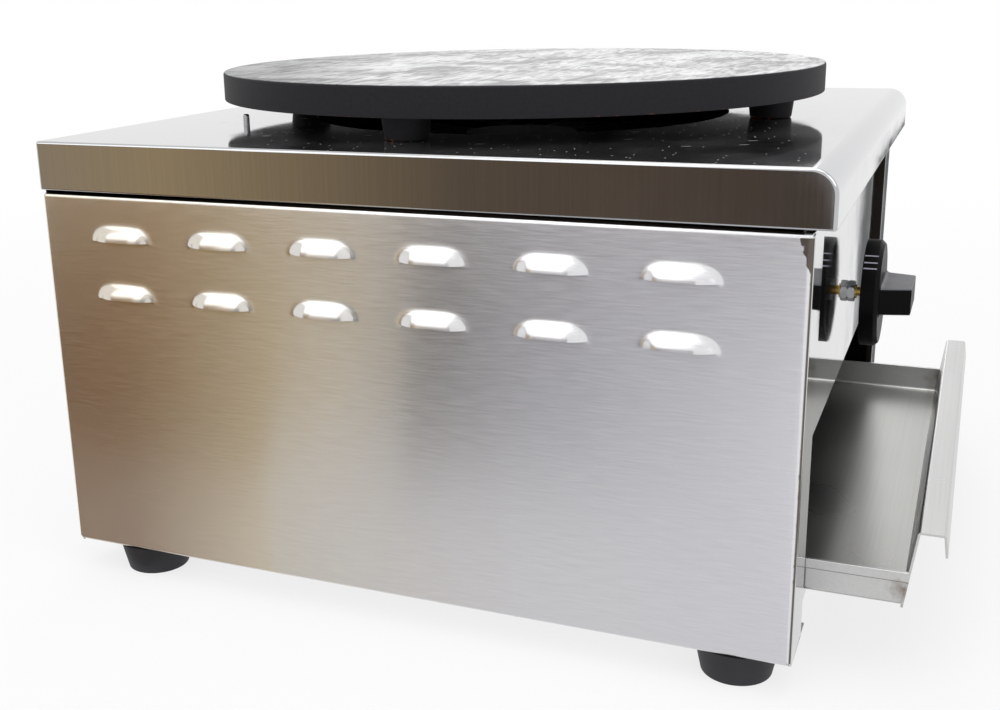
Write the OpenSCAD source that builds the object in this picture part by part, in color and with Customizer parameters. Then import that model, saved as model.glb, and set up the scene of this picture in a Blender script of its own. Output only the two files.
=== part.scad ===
// Gas crepe maker: a round cast plate over a star burner, in a folded stainless cabinet with a drawer.
// Millimetres. +Z is up, the front faces -Y, and the origin lies on the worktop under the cabinet's middle.

/* [Cabinet] */
// Width of the top cover
body_w = 460; // [440:1:490]
// Depth of the top cover, front to back
body_d = 460; // [440:1:490]
// Height of the deck above the underside of the cabinet
body_h = 257; // [245:0.5:275]
// Thickness of the stainless sheet
sheet_t = 1.2; // [0.8:0.1:1.5]
// Height of the cover's skirt
skirt_h = 29; // [24:1:34]
// Gap between the skirt's inner face and the panels that stand inside it
skirt_clear = 0.4; // [0.2:0.1:1.5]
// Open seam between the skirt and the side panels
seam_gap = 1; // [0.5:0.1:6]
// Outer radius of the cover's rounded front edge
front_bend_r = 13; // [6:1:18]
// How far the cover overhangs the front
front_setback = 9.7; // [7:0.1:18]
// How far the control panel stands behind the side panels' front strips
panel_behind = 3.1; // [0.5:0.1:5]
// Width of the stiffening folds along the panels' edges
fold_w = 15; // [10:1:20]
// How far the side panels' upper folds stand up behind the seam
fold_up = 8; // [4:1:14]
// Height of the control panel's lower edge above the underside
opening_top = 98.5; // [85:0.5:104]

/* [Griddle plate] */
// Diameter of the cast plate
plate_d = 400; // [380:1:420]
// Thickness of the cast plate
plate_t = 17.8; // [12:0.1:24]
// Distance of the plate's centre behind the cabinet's middle
plate_y = 7; // [0:1:12]
// Height of the posts between the deck and the plate
post_h = 14.7; // [10:0.1:24]
// Diameter of the circle that the posts stand on
post_ring_d = 340; // [325:1:350]
// Diameter of a post under the plate
post_top_d = 29; // [24:0.5:40]
// Diameter of a post on the deck
post_base_d = 25.5; // [20:0.5:34]
// How far the plate lies turned on the deck, in degrees
plate_turn = 2.6; // [0:0.1:10]
// Chamfer round the cooking face
plate_chamfer = 1.5; // [0.5:0.1:4]

/* [Louvres] */
// Louvres in a row
louvre_cols = 6; // [3:1:6]
// Distance between louvres along a row
louvre_pitch = 66.5; // [50:0.5:70]
// Rows of louvres
louvre_rows = 2; // [1:1:3]
// Distance between the rows
louvre_row_pitch = 35; // [24:0.5:45]
// Height of the upper row's open edge above the underside
louvre_z = 199.1; // [180:0.1:207]
// Distance of the rows' middle behind the cabinet's middle
louvre_y = 8.4; // [0:0.1:15]
// Length of a louvre
louvre_len = 40; // [32:1:48]
// Height of a louvre
louvre_h = 9.2; // [7:0.1:13]
// How far a louvre is pressed out
louvre_out = 4.5; // [3:0.1:6.5]

/* [Drawer] */
// Width of the bay between the tray and each side panel
side_bay = 38.9; // [36.5:0.1:58]
// Length of the tray, front to back
tray_depth = 400; // [330:1:410]
// Height of the tray's side walls
tray_wall_h = 19.5; // [14:0.5:30]
// Height of the hem folded outside the walls
tray_hem_h = 5.5; // [3:0.1:9]
// Height of the tray above the underside of the cabinet
drawer_lift = 25; // [18:0.5:30]
// How far the drawer stands open
drawer_out = 50; // [0:1:120]
// Gap between the tray and the sides of the opening
drawer_clear = 1.5; // [1:0.1:3]
// Gap between the tray and the guides beside it
guide_clear = 0.8; // [0.3:0.1:1]
// Height of the raised front
drawer_front_h = 43; // [34:0.5:50]
// How far the raised front leans out at its top
drawer_lean = 5.8; // [0:0.1:8]
// Depth of the folded handle
handle_w = 13.5; // [10:0.5:24]
// Height of the handle's turned-down lip
handle_lip = 12; // [6:0.1:16]
// How far the lip splays out
handle_splay = 1.5; // [0:0.1:4]

/* [Burner] */
// Diameter of the opening in the deck over the burner
flame_hole_d = 280; // [265:1:290]
// Diameter over the burner's arms
burner_d = 250; // [210:1:258]
// Arms of the burner
burner_arms = 12; // [8:1:12]
// Diameter of an arm
arm_d = 14; // [11:0.5:15]
// Wall of the arms and the hub
burner_wall = 2.5; // [2:0.1:3.5]
// Diameter of the hub
hub_d = 76; // [72:1:90]
// Height of the hub
hub_h = 26; // [24:1:30]
// Depth of the hub's top under the deck
burner_drop = 13.5; // [6:0.5:20]
// Flame ports along an arm
port_rows = 5; // [3:1:6]
// Diameter of a flame port
port_d = 3; // [1.5:0.1:4]
// Outer diameter of the mixing tube
mix_d = 36; // [32:1:40]
// Wall of the mixing tube
mix_wall = 2.5; // [1.5:0.1:4]
// Diameter of the mixing tube's throat
throat_d = 20; // [16:1:24]
// Wall of the riser at the mixing tube's end
riser_wall = 4; // [3:0.1:6]
// Distance of the burner's bridges from the plate's centre
bridge_y = 75; // [60:1:90]
// Width of a bridge
bridge_w = 20; // [14:1:26]
// Thickness of a bridge
bridge_t = 2; // [1.5:0.1:3]
// Distance of the bridges' legs from the outside of the side panels
bridge_inset = 18.4; // [16:0.1:22]
// Wall of the air shutter
shutter_wall = 1.5; // [1:0.1:2.5]
// Height of the air windows
window_h = 20; // [12:1:24]
// Length of the air windows
window_len = 20; // [12:1:24]

/* [Gas valve and knob] */
// Height of the valve's axis above the underside
valve_z = 146.5; // [138:0.5:155]
// Diameter of the valve's barrel
valve_d = 26; // [24:1:32]
// Length of the valve's barrel
valve_len = 46; // [44:1:54]
// Diameter of the valve's plug
plug_d = 16; // [13:0.5:18]
// Diameter of the valve's spindle
spindle_d = 6; // [5:0.1:7]
// Diameter of the threaded neck through the panel
neck_d = 9; // [8.5:0.1:10]
// Width of the panel nut across its flats
panel_nut_af = 12; // [12:0.5:16]
// Thickness of the panel nut
panel_nut_t = 4.5; // [3:0.1:5.5]
// Travel of the knob when it is pushed in
push_travel = 4; // [2:0.1:4.5]
// Diameter of the knob's disc
knob_d = 68; // [50:1:70]
// Thickness of the knob's disc
knob_disc_t = 11; // [9:0.5:14]
// Gap between the knob and the control panel
knob_gap = 10; // [7.5:0.1:11]
// Length of the knob's grip at the disc
grip_base_l = 52; // [46:1:60]
// Length of the knob's grip at its end
grip_end_l = 42; // [20:1:46]
// Thickness of the knob's grip
grip_t = 17; // [12:0.5:20]
// Height of the knob's grip above the disc
grip_h = 18.5; // [12:0.5:24]

/* [Gas supply] */
// Outer diameter of the supply pipe
pipe_d = 12; // [10:0.5:13]
// Wall of the supply pipe
pipe_wall = 1.5; // [1:0.1:2]
// Bend radius of the supply pipe
pipe_bend_r = 24; // [20:1:34]
// Distance of the gas inlet from the cabinet's middle
inlet_x = 150; // [120:1:180]
// Outer diameter of the inlet's pipe thread
inlet_d = 20.955; // [16.5:0.005:26.5]
// Length of the inlet behind the back panel
inlet_out = 61.5; // [40:0.5:70]

/* [Feet] */
// Height of the rubber feet
foot_h = 18.5; // [16:0.5:40]
// Diameter of a foot where it meets the cabinet
foot_top_d = 46; // [34:1:46]
// Diameter of a foot on the worktop
foot_base_d = 38; // [28:1:40]
// Distance of the feet's centres from the outside of the side panels
foot_inset = 23.4; // [23:0.1:30]
// Distance of the front feet's centres behind the side panels' front
foot_front = 31.3; // [24:0.1:50]
// Distance of the rear feet's centres from the back panel's face
foot_rear = 41.9; // [30:0.1:58]

/* [Fits] */
// Radial running clearance of shafts
run_clear = 0.05; // [0.02:0.01:0.1]
// Radial clearance of screws in their holes
screw_clear = 0.2; // [0.1:0.05:0.4]
// Gap between sheets that don't touch
fit_gap = 0.4; // [0.2:0.1:0.8]

/* [Hidden] */
$fn = 64;
// How far a cut runs past the face that it opens
over = 1;

// Planes of the cabinet
z_under = foot_h;
z_floor = z_under + 2 * sheet_t;
z_deck = z_under + body_h;
z_skirt = z_deck - skirt_h;
z_panel = z_skirt - seam_gap;
x_side = body_w / 2 - sheet_t - skirt_clear;
y_back = body_d / 2 - sheet_t - skirt_clear;
y_front = -body_d / 2 + front_setback;
x_inner = x_side - sheet_t - fit_gap;
z_open = z_under + opening_top;
y_panel = y_front + sheet_t + panel_behind;
y_panel_in = y_panel + sheet_t;

// The cover's front bend comes down a little where the control panel meets it
bend_in_r = front_bend_r - sheet_t;
bend_reach = max(0, front_bend_r - front_setback - sheet_t - panel_behind);
bend_drop = bend_in_r - sqrt(bend_in_r * bend_in_r - bend_reach * bend_reach);
seat_gap = 0.1;
z_front_top = z_deck - sheet_t - bend_drop - seat_gap;
z_back_top = z_deck - sheet_t - seat_gap;

// Depth of the posts' roots in the plate
post_root = 4;

// A louvre is a capsule's cap that stands out of the sheet by louvre_out
louvre_r = (louvre_out * louvre_out + louvre_h * louvre_h) / (2 * louvre_out);
louvre_slot = 0.8;

// Drawer
tray_w = 2 * (x_side - side_bay);
x_open = tray_w / 2 + drawer_clear;
x_guide = tray_w / 2 + guide_clear;
z_tray = z_under + drawer_lift;
z_rim = z_tray + tray_wall_h;
z_handle = z_tray + drawer_front_h;
y_tray = y_front - drawer_out;
y_tray_end = y_tray + tray_depth;
rail_drop = 2.5;
shelf_w = 18;
shelf_clear = 0.2;
guide_up = 12;

// Burner
z_hub = z_deck - burner_drop - hub_h;
arm_cover = 2;
z_arm = z_hub + hub_h - arm_d / 2 - arm_cover;
z_bridge = z_arm - arm_d / 2 - bridge_t;
socket_h = 8;
x_leg = x_side - bridge_inset - bridge_t;
tab_w = bridge_inset - sheet_t - 2 * fit_gap;
x_tab_screw = x_leg + bridge_t + tab_w / 2;

// Gas valve, along +Y from the back of the control panel
z_valve = z_under + valve_z;
neck_out = 1;
valve_wall = 6;
valve_end = 6;
collar_d = 10;
collar_t = 2;
collar_gap = 0.2;
y_collar = y_panel_in + valve_wall + collar_gap;
spring_l = 9;
spring_clear = 0.5;
y_plug = y_collar + collar_t + spring_l;
y_plug_end = y_panel_in + valve_len - valve_end - fit_gap;
tail_in = 7;
tail_spare = 1;
port_back = 5;
y_port = y_plug_end - port_back;
gas_bore = 4;
y_valve_end = y_panel_in + valve_len;
port_reach = 12;
x_port = valve_d / 2 + port_reach;
port_wall = 3;
port_boss_d = pipe_d + 2 * port_wall;
port_socket = 8;
pipe_nut_t = 12;
pipe_nut_wall = 5;
pipe_nut_af = pipe_d + 2 * pipe_nut_wall;

// Knob
y_knob = y_panel - knob_gap;
y_disc = y_knob - knob_disc_t;
knob_wall = 3;
knob_web = 4;
knob_boss_d = 14;
// The boss stops short of the back so that the pushed knob clears the nut and the neck
boss_recess = max(0, push_travel + fit_gap + panel_nut_t + neck_out - knob_gap);
knob_chamfer = 2;
spindle_past = 6;
spindle_in = knob_disc_t + spindle_past;
flat_depth = 1.5;

// Injector and mixing tube
injector_d = 8;
injector_af = 14;
injector_hex = 6;
injector_tip = 6;
orifice_d = 1.2;
orifice_l = 2;
mix_front = 4;
y_mix = y_valve_end + injector_hex;
mix_in_r = mix_d / 2 - mix_wall;
riser_spare = 1.5;
riser_in_r = mix_in_r + riser_spare;
riser_roof = 3;
window_from = 10;
throat_after = 8;
throat_from = window_from + window_len + throat_after;
throat_in = 8;
throat_l = 12;
throat_out = 35;
shutter_edge = 4;
shutter_boss_d = 10;
shutter_boss_h = 7;
shutter_screw_d = 4;
shutter_screw_gap = 0.3;

// Gas inlet
nipple_in = 30;
nipple_socket = 14;
shank_step = 0.5;
shank_d = inlet_d - 2 * shank_step;
locknut_t = 6;
locknut_wall = 3.5;
locknut_af = inlet_d + 2 * locknut_wall;
seal_t = 1.5;
y_nipple = y_back - sheet_t - nipple_in;
y_hex = y_back + seal_t;

// Fasteners
screw_d = 4;
screw_head_d = 8;
screw_head_h = 2.6;
head_taper = 0.8;
screw_l = 8;
cover_screw_pitch = 150;
cover_screw_up = 12;
panel_screw_z = [60, 190];
foot_screw_d = 6;
foot_head_d = 12;
foot_head_h = 4;
foot_bore_d = 16;
foot_bore_h = 9;
foot_nut_af = 10;
foot_nut_t = 5;
washer_t = 1.5;
washer_d = 14;
bridge_screw_d = 5;
bridge_nut_af = 8;
bridge_nut_t = 4;
screw_tip = 2;
stud_d = 4;
stud_h = 7;
stud_head_d = 8;
stud_head_t = 2;
stud_x = 122;
stud_behind = 144;
foot_x = x_side - foot_inset;
foot_mid = (y_front + foot_front + y_back - foot_rear) / 2;
foot_span = (y_back - foot_rear - y_front - foot_front) / 2;
foot_fold_spare = 3;
foot_fold = foot_inset + foot_top_d / 2 + foot_fold_spare;

FEET = [[-1, -1], [1, -1], [-1, 1], [1, 1]];
FOOT_NODES = ["front_left_foot", "front_right_foot", "rear_left_foot", "rear_right_foot"];

// Shapes that repeat

module box(low, high) {
    translate(low) cube(high - low);
}

// Rod along +X, +Y or +Z that starts at a point
module rod_x(start, d, l) {
    translate(start) rotate([0, 90, 0]) cylinder(d = d, h = l);
}

module rod_y(start, d, l) {
    translate(start) rotate([-90, 0, 0]) cylinder(d = d, h = l);
}

module rod_z(start, d, l) {
    translate(start) cylinder(d = d, h = l);
}

// Outline in Y and Z, drawn out along X
module slab_yz(points, x0, x1) {
    translate([x0, 0, 0]) rotate([90, 0, 90]) linear_extrude(x1 - x0) polygon(points);
}

// Hexagon across its flats, standing on the XY plane
module hexagon(af, t) {
    cylinder(d = af / cos(30), h = t, $fn = 6);
}

module nut(d, af, t) {
    difference() {
        hexagon(af, t);
        translate([0, 0, -over]) cylinder(d = d, h = t + 2 * over);
    }
}

// Pan-head screw whose head seats on the XY plane and whose shank goes down
module screw(d, head_d, head_h, l) {
    cylinder(d1 = head_d, d2 = head_d * head_taper, h = head_h);
    translate([0, 0, -l]) cylinder(d = d, h = l + head_h / 2);
}

module at_foot(f) {
    translate([f[0] * foot_x, foot_mid + f[1] * foot_span, 0]) children();
}

module at_feet() {
    for (f = FEET) at_foot(f) children();
}

module at_bridge_screws() {
    for (f = FEET) translate([f[0] * x_tab_screw, plate_y + f[1] * bridge_y, 0]) children();
}

module at_cover_screws() {
    for (i = [-1:1]) translate([i * cover_screw_pitch, body_d / 2, z_skirt + cover_screw_up])
        rotate([-90, 0, 0]) children();
}

module at_panel_screws() {
    for (side = [-1, 1], z = panel_screw_z)
        translate([side * (x_side - fold_w / 2), y_back + sheet_t, z_under + z])
            rotate([-90, 0, 0]) children();
}

module at_studs() {
    for (side = [-1, 1]) translate([side * stud_x, plate_y + stud_behind, 0]) children();
}

// Cabinet

// Side view of the cover, with its rounded front edge
module cover_outline(inset, z_low) {
    r = front_bend_r - inset;
    front = -body_d / 2 + inset;
    back = body_d / 2 - inset;
    top = z_deck - inset;
    translate([front + r, top - r]) circle(r);
    translate([front, z_low]) square([back - front, top - r - z_low]);
    translate([front + r, z_low]) square([back - front - r, top - z_low]);
}

module cover_block(inset, z_low) {
    half = body_w / 2 - inset;
    translate([-half, 0, 0]) rotate([90, 0, 90]) linear_extrude(2 * half) cover_outline(inset, z_low);
}

module top_cover() {
    color("gainsboro") difference() {
        cover_block(0, z_skirt);
        cover_block(sheet_t, z_skirt - over);
        rod_z([0, plate_y, z_deck - sheet_t - over], flame_hole_d, sheet_t + 2 * over);
        at_studs() rod_z([0, 0, z_deck - sheet_t - over], stud_d + 2 * screw_clear, sheet_t + 2 * over);
        at_cover_screws() rod_z([0, 0, -sheet_t - over], screw_d + 2 * screw_clear, sheet_t + 2 * over);
    }
}

// Capsule behind one louvre, cut off at the louvre's open edge
module louvre_cap(r, z_low, x_to) {
    straight = louvre_len / 2 - louvre_h;
    x_mid = -x_side - louvre_out + louvre_r;
    intersection() {
        translate([x_mid, 0, 0]) {
            rod_y([0, -straight, 0], 2 * r, 2 * straight);
            for (end = [-1, 1]) translate([0, end * straight, 0]) sphere(r);
        }
        box([-x_side - louvre_out - over, -louvre_len, z_low], [x_to, louvre_len, 2 * louvre_h]);
    }
}

module at_louvres() {
    for (col = [0:louvre_cols - 1], row = [0:louvre_rows - 1])
        translate([0, louvre_y + (col - (louvre_cols - 1) / 2) * louvre_pitch,
            z_under + louvre_z - row * louvre_row_pitch]) children();
}

// Side panel for the left, folded in at the front, back, top and bottom. The front strip is turned in
// again along the opening, as far as the control panel that it holds. The rear fold lies on the back panel,
// and the upper one stands up along its inner edge.
module side_panel() {
    x_in = -x_side + sheet_t;
    x_fold = -x_side + fold_w;
    y_end = y_back + sheet_t;
    y0 = y_panel_in + fit_gap;
    y1 = y_back - sheet_t - fit_gap;
    difference() {
        union() {
            box([-x_side, y_front, z_under], [x_in, y_end, z_panel]);
            box([-x_side, y_front, z_under], [-x_open, y_front + sheet_t, z_panel]);
            box([-x_open - sheet_t, y_front, z_under], [-x_open, y_panel, z_panel]);
            box([-x_side, y_back, z_under], [x_fold, y_end, z_panel]);
            box([-x_side, y0, z_panel - sheet_t], [x_fold, y1, z_panel]);
            box([x_fold - sheet_t, y0, z_panel - sheet_t], [x_fold, y1, z_panel + fold_up]);
            box([-x_side, y_front, z_under], [-x_side + foot_fold, y1, z_under + sheet_t]);
            at_louvres() louvre_cap(louvre_r, 0, x_in - sheet_t / 2);
        }
        at_louvres() louvre_cap(louvre_r - sheet_t, -louvre_slot, x_in + over);
        at_feet() rod_z([0, 0, z_under - over], foot_screw_d + 2 * screw_clear, sheet_t + 2 * over);
        at_bridge_screws()
            rod_z([0, 0, z_under - over], bridge_screw_d + 2 * screw_clear, sheet_t + 2 * over);
        at_panel_screws() rod_z([0, 0, -sheet_t - over], screw_d + 2 * screw_clear, sheet_t + 2 * over);
    }
}

module left_side_panel() {
    color("silver") side_panel();
}

module right_side_panel() {
    color("silver") mirror([1, 0, 0]) side_panel();
}

module front_panel() {
    color("gainsboro") difference() {
        union() {
            box([-x_inner, y_panel, z_open], [x_inner, y_panel_in, z_front_top]);
            box([-x_inner, y_panel, z_front_top - sheet_t], [x_inner, y_panel + fold_w, z_front_top]);
            box([-x_inner, y_panel, z_open], [x_inner, y_panel + fold_w, z_open + sheet_t]);
        }
        rod_y([0, y_panel - over, z_valve], neck_d + 2 * screw_clear, sheet_t + 2 * over);
    }
}

module back_panel() {
    color("silver") difference() {
        union() {
            box([-x_inner, y_back - sheet_t, z_under], [x_inner, y_back, z_back_top]);
            box([-x_inner, y_back - fold_w, z_back_top - sheet_t], [x_inner, y_back, z_back_top]);
        }
        rod_y([inlet_x, y_back - sheet_t - over, z_valve], shank_d + 2 * screw_clear, sheet_t + 2 * over);
        at_panel_screws()
            rod_z([0, 0, -2 * sheet_t - over], screw_d + 2 * screw_clear, 2 * sheet_t + 2 * over);
        at_cover_screws() rod_z([0, 0, -fold_w / 2], screw_d + 2 * screw_clear, fold_w);
    }
}

// Floor of the cabinet, turned up at the front as the rail under the drawer
module bottom_panel() {
    z_low = z_under + sheet_t;
    color("silver") difference() {
        union() {
            box([-x_inner, y_panel, z_low], [x_inner, y_back - 2 * sheet_t - fit_gap, z_floor]);
            box([-x_inner, y_panel, z_low], [x_inner, y_panel_in, z_tray - rail_drop]);
        }
        at_feet() rod_z([0, 0, z_low - over], foot_screw_d + 2 * screw_clear, sheet_t + 2 * over);
        at_bridge_screws() rod_z([0, 0, z_low - over], bridge_screw_d + 2 * screw_clear, sheet_t + 2 * over);
    }
}

// Drawer

// Rail for the right: a base on the floor, a guide beside the tray and a shelf under it
module drawer_rail() {
    y0 = y_panel_in + fit_gap;
    y1 = y_back - 2 * sheet_t - 2 * fit_gap;
    z_shelf = z_tray - shelf_clear;
    box([x_guide - shelf_w, y0, z_floor], [x_guide + sheet_t, y1, z_floor + sheet_t]);
    box([x_guide, y0, z_floor], [x_guide + sheet_t, y1, z_tray + guide_up]);
    box([x_guide - shelf_w, y0, z_shelf - sheet_t], [x_guide + sheet_t, y1, z_shelf]);
}

module left_drawer_rail() {
    color("darkgray") mirror([1, 0, 0]) drawer_rail();
}

module right_drawer_rail() {
    color("darkgray") drawer_rail();
}

// How far the raised front has leaned out at a height above the tray
function lean(h) = drawer_lean * h / drawer_front_h;

module drawer_tray() {
    y_low = y_tray + sheet_t;
    side = tray_w / 2 - sheet_t;
    z_hem = tray_wall_h - tray_hem_h;
    wall = [[y_low, z_tray], [y_tray_end, z_tray], [y_tray_end, z_rim], [y_low - lean(tray_wall_h), z_rim]];
    hem = [[y_low - lean(z_hem), z_tray + z_hem], [y_tray_end, z_tray + z_hem], [y_tray_end, z_rim],
        [y_low - lean(tray_wall_h), z_rim]];
    color("silver") union() {
        box([-side, y_low, z_tray], [side, y_tray_end, z_tray + sheet_t]);
        box([-side, y_tray_end - sheet_t, z_tray], [side, y_tray_end, z_rim]);
        for (m = [0, 1]) mirror([m, 0, 0]) {
            slab_yz(wall, side - sheet_t, side);
            slab_yz(hem, side, side + sheet_t);
        }
    }
}

module drawer_front() {
    y_in = y_tray + sheet_t - drawer_lean;
    y_out = y_in - handle_w;
    outline = [[y_tray, z_tray], [y_tray + sheet_t, z_tray], [y_in, z_handle], [y_out, z_handle],
        [y_out - handle_splay, z_handle - handle_lip],
        [y_out - handle_splay + sheet_t, z_handle - handle_lip],
        [y_out + sheet_t, z_handle - sheet_t], [y_in - sheet_t, z_handle - sheet_t]];
    color("gainsboro") slab_yz(outline, -tray_w / 2, tray_w / 2);
}

// Griddle plate

module griddle_plate() {
    z0 = z_deck + post_h;
    z1 = z0 + plate_t;
    r = plate_d / 2;
    edge = [[0, z0], [r, z0], [r, z1 - plate_chamfer], [r - plate_chamfer, z1], [0, z1]];
    color("dimgray") translate([0, plate_y, 0]) {
        rotate_extrude($fn = 128) polygon(edge);
        for (a = [0:90:270]) rotate([0, 0, a - plate_turn]) translate([post_ring_d / 2, 0, z_deck])
            cylinder(d1 = post_base_d, d2 = post_top_d, h = post_h + post_root);
    }
}

// Studs that stand on the deck behind the plate
module deck_studs() {
    color("lightgray") at_studs() {
        rod_z([0, 0, z_deck - sheet_t], stud_d, sheet_t + stud_h);
        rod_z([0, 0, z_deck - sheet_t - stud_head_t], stud_head_d, stud_head_t);
    }
}

// Burner

module at_arms() {
    for (i = [0:burner_arms - 1]) rotate([0, 0, i * 360 / burner_arms]) children();
}

module burner_head() {
    cavity_d = hub_d - 2 * burner_wall;
    root = cavity_d / 2 - burner_wall;
    port_step = (burner_d - hub_d) / 2 / (port_rows + 1);
    color("slategray") translate([0, plate_y, 0]) difference() {
        union() {
            rod_z([0, 0, z_hub], hub_d, hub_h);
            at_arms() rod_x([cavity_d / 2, 0, z_arm], arm_d, (burner_d - cavity_d) / 2);
        }
        rod_z([0, 0, z_hub + socket_h + burner_wall], cavity_d, hub_h - socket_h - 2 * burner_wall);
        rod_z([0, 0, z_hub - over], mix_d + 2 * run_clear, socket_h + over);
        rod_z([0, 0, z_hub], 2 * mix_in_r, hub_h / 2);
        at_arms() {
            rod_x([root, 0, z_arm], arm_d - 2 * burner_wall, burner_d / 2 - burner_wall - root);
            for (k = [1:port_rows]) rod_z([hub_d / 2 + k * port_step - port_d, 0, z_arm], port_d, arm_d);
        }
    }
}

// Way through the mixing tube: the injector's hole, the air chamber, the throat and the long bore
module mixing_bore() {
    l = plate_y - y_mix;
    t1 = throat_from + throat_in;
    t2 = t1 + throat_l;
    outline = [[0, -over], [injector_d / 2 + run_clear, -over], [injector_d / 2 + run_clear, mix_front],
        [mix_in_r, mix_front], [mix_in_r, throat_from], [throat_d / 2, t1], [throat_d / 2, t2],
        [mix_in_r, t2 + throat_out], [mix_in_r, l], [0, l]];
    translate([0, y_mix, z_valve]) rotate([-90, 0, 0]) rotate_extrude() polygon(outline);
}

module air_windows(reach) {
    box([-reach, y_mix + window_from, z_valve - window_h / 2],
        [reach, y_mix + window_from + window_len, z_valve + window_h / 2]);
}

// Long round along the valve's axis, with a riser at its end that the burner's hub sits on
module mixing_tube() {
    z_low = z_valve - riser_in_r - riser_wall;
    z_spigot = z_hub + socket_h;
    color("darkgray") difference() {
        union() {
            rod_y([0, y_mix, z_valve], mix_d, plate_y - y_mix);
            rod_z([0, plate_y, z_low], 2 * (riser_in_r + riser_wall), z_hub - z_low);
            rod_z([0, plate_y, z_low], mix_d, z_spigot - z_low);
        }
        mixing_bore();
        rod_z([0, plate_y, z_low + riser_wall], 2 * riser_in_r, z_hub - riser_roof - z_low - riser_wall);
        rod_z([0, plate_y, z_valve], 2 * mix_in_r, z_spigot - z_valve + over);
        air_windows(mix_d);
    }
}

// Sleeve that turns on the mixing tube to close its air windows
module air_shutter() {
    y0 = y_mix + window_from - shutter_edge;
    l = window_len + 2 * shutter_edge;
    color("lightgray") difference() {
        union() {
            rod_y([0, y0, z_valve], mix_d + 2 * run_clear + 2 * shutter_wall, l);
            rod_z([0, y0 + l / 2, z_valve + mix_d / 2], shutter_boss_d, shutter_wall + shutter_boss_h);
        }
        rod_y([0, y0 - over, z_valve], mix_d + 2 * run_clear, l + 2 * over);
        air_windows(mix_d);
        rod_z([0, y0 + l / 2, z_valve], shutter_screw_d + 2 * run_clear, mix_d + shutter_boss_h);
    }
}

module shutter_screw() {
    y_mid = y_mix + window_from + window_len / 2;
    z_tip = z_valve + mix_d / 2 + shutter_screw_gap;
    z_seat = z_valve + mix_d / 2 + shutter_wall + shutter_boss_h;
    color("gold") translate([0, y_mid, z_seat])
        screw(shutter_screw_d, screw_head_d, screw_head_h, z_seat - z_tip);
}

module injector() {
    nose = mix_front + injector_tip;
    l_in = valve_end - fit_gap;
    color("goldenrod") difference() {
        union() {
            rod_y([0, y_valve_end - l_in, z_valve], injector_d, l_in + injector_hex + nose);
            translate([0, y_valve_end, z_valve]) rotate([-90, 0, 0]) hexagon(injector_af, injector_hex);
        }
        rod_y([0, y_valve_end - l_in - over, z_valve], gas_bore,
            l_in + injector_hex + nose - orifice_l + over);
        rod_y([0, y_valve_end, z_valve], orifice_d, injector_hex + nose + over);
    }
}

// Bridge over the drawer's space, on legs that stand on the floor beside the rails
module bridge(y_mid) {
    y0 = y_mid - bridge_w / 2;
    y1 = y_mid + bridge_w / 2;
    color("lightsteelblue") difference() {
        union() {
            box([-x_leg - bridge_t, y0, z_bridge], [x_leg + bridge_t, y1, z_bridge + bridge_t]);
            for (m = [0, 1]) mirror([m, 0, 0]) {
                box([x_leg, y0, z_floor], [x_leg + bridge_t, y1, z_bridge + bridge_t]);
                box([x_leg, y0, z_floor], [x_leg + bridge_t + tab_w, y1, z_floor + bridge_t]);
            }
        }
        at_bridge_screws()
            rod_z([0, 0, z_floor - over], bridge_screw_d + 2 * screw_clear, bridge_t + 2 * over);
    }
}

module front_bridge() {
    bridge(plate_y - bridge_y);
}

module rear_bridge() {
    bridge(plate_y + bridge_y);
}

module bridge_screws() {
    color("lightgray") at_bridge_screws() translate([0, 0, z_under]) rotate([180, 0, 0])
        screw(bridge_screw_d, screw_head_d, screw_head_h,
            z_floor - z_under + bridge_t + bridge_nut_t + screw_tip);
}

module bridge_nuts() {
    color("lightgray") at_bridge_screws() translate([0, 0, z_floor + bridge_t])
        nut(bridge_screw_d + 2 * run_clear, bridge_nut_af, bridge_nut_t);
}

// Gas valve and knob

module valve_body() {
    neck = panel_nut_t + neck_out + sheet_t;
    color("goldenrod") difference() {
        union() {
            rod_y([0, y_panel_in - neck, z_valve], neck_d, neck + over);
            rod_y([0, y_panel_in, z_valve], valve_d, valve_len);
            rod_x([0, y_port, z_valve], port_boss_d, x_port);
        }
        rod_y([0, y_panel_in - neck - over, z_valve], spindle_d + 2 * run_clear,
            neck + valve_wall + 2 * over);
        rod_y([0, y_panel_in + valve_wall, z_valve], plug_d + 2 * run_clear,
            valve_len - valve_wall - valve_end);
        rod_y([0, y_plug_end, z_valve], injector_d + 2 * run_clear, valve_end + fit_gap + over);
        rod_x([0, y_port, z_valve], gas_bore, x_port);
        rod_x([x_port - port_socket, y_port, z_valve], pipe_d + 2 * run_clear, port_socket + over);
    }
}

// Plug that opens the gas way as it turns, with a blind hole that the spindle slides in
module valve_plug() {
    color("darkgoldenrod") difference() {
        rod_y([0, y_plug, z_valve], plug_d, y_plug_end - y_plug);
        rod_y([0, y_plug - over, z_valve], spindle_d + 2 * run_clear,
            tail_in + push_travel + tail_spare + over);
        rod_x([0, y_port, z_valve], gas_bore, plug_d);
        rod_y([0, y_port, z_valve], gas_bore, valve_len);
    }
}

// Return spring between the spindle's collar and the plug, as the tube that its turns fill
module valve_spring() {
    spring_d = (plug_d + collar_d) / 2;
    spring_in_d = spindle_d + 2 * spring_clear;
    color("gray") difference() {
        rod_y([0, y_collar + collar_t, z_valve], spring_d, spring_l);
        rod_y([0, y_collar, z_valve], spring_in_d, spring_l + collar_t + over);
    }
}

// Spindle's front end, with the flat that drives the knob
module spindle_end(d, l, flat) {
    difference() {
        rod_y([0, y_knob - l, z_valve], d, l);
        box([-d, y_knob - l - over, z_valve + d / 2 - flat], [d, y_knob, z_valve + d]);
    }
}

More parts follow.
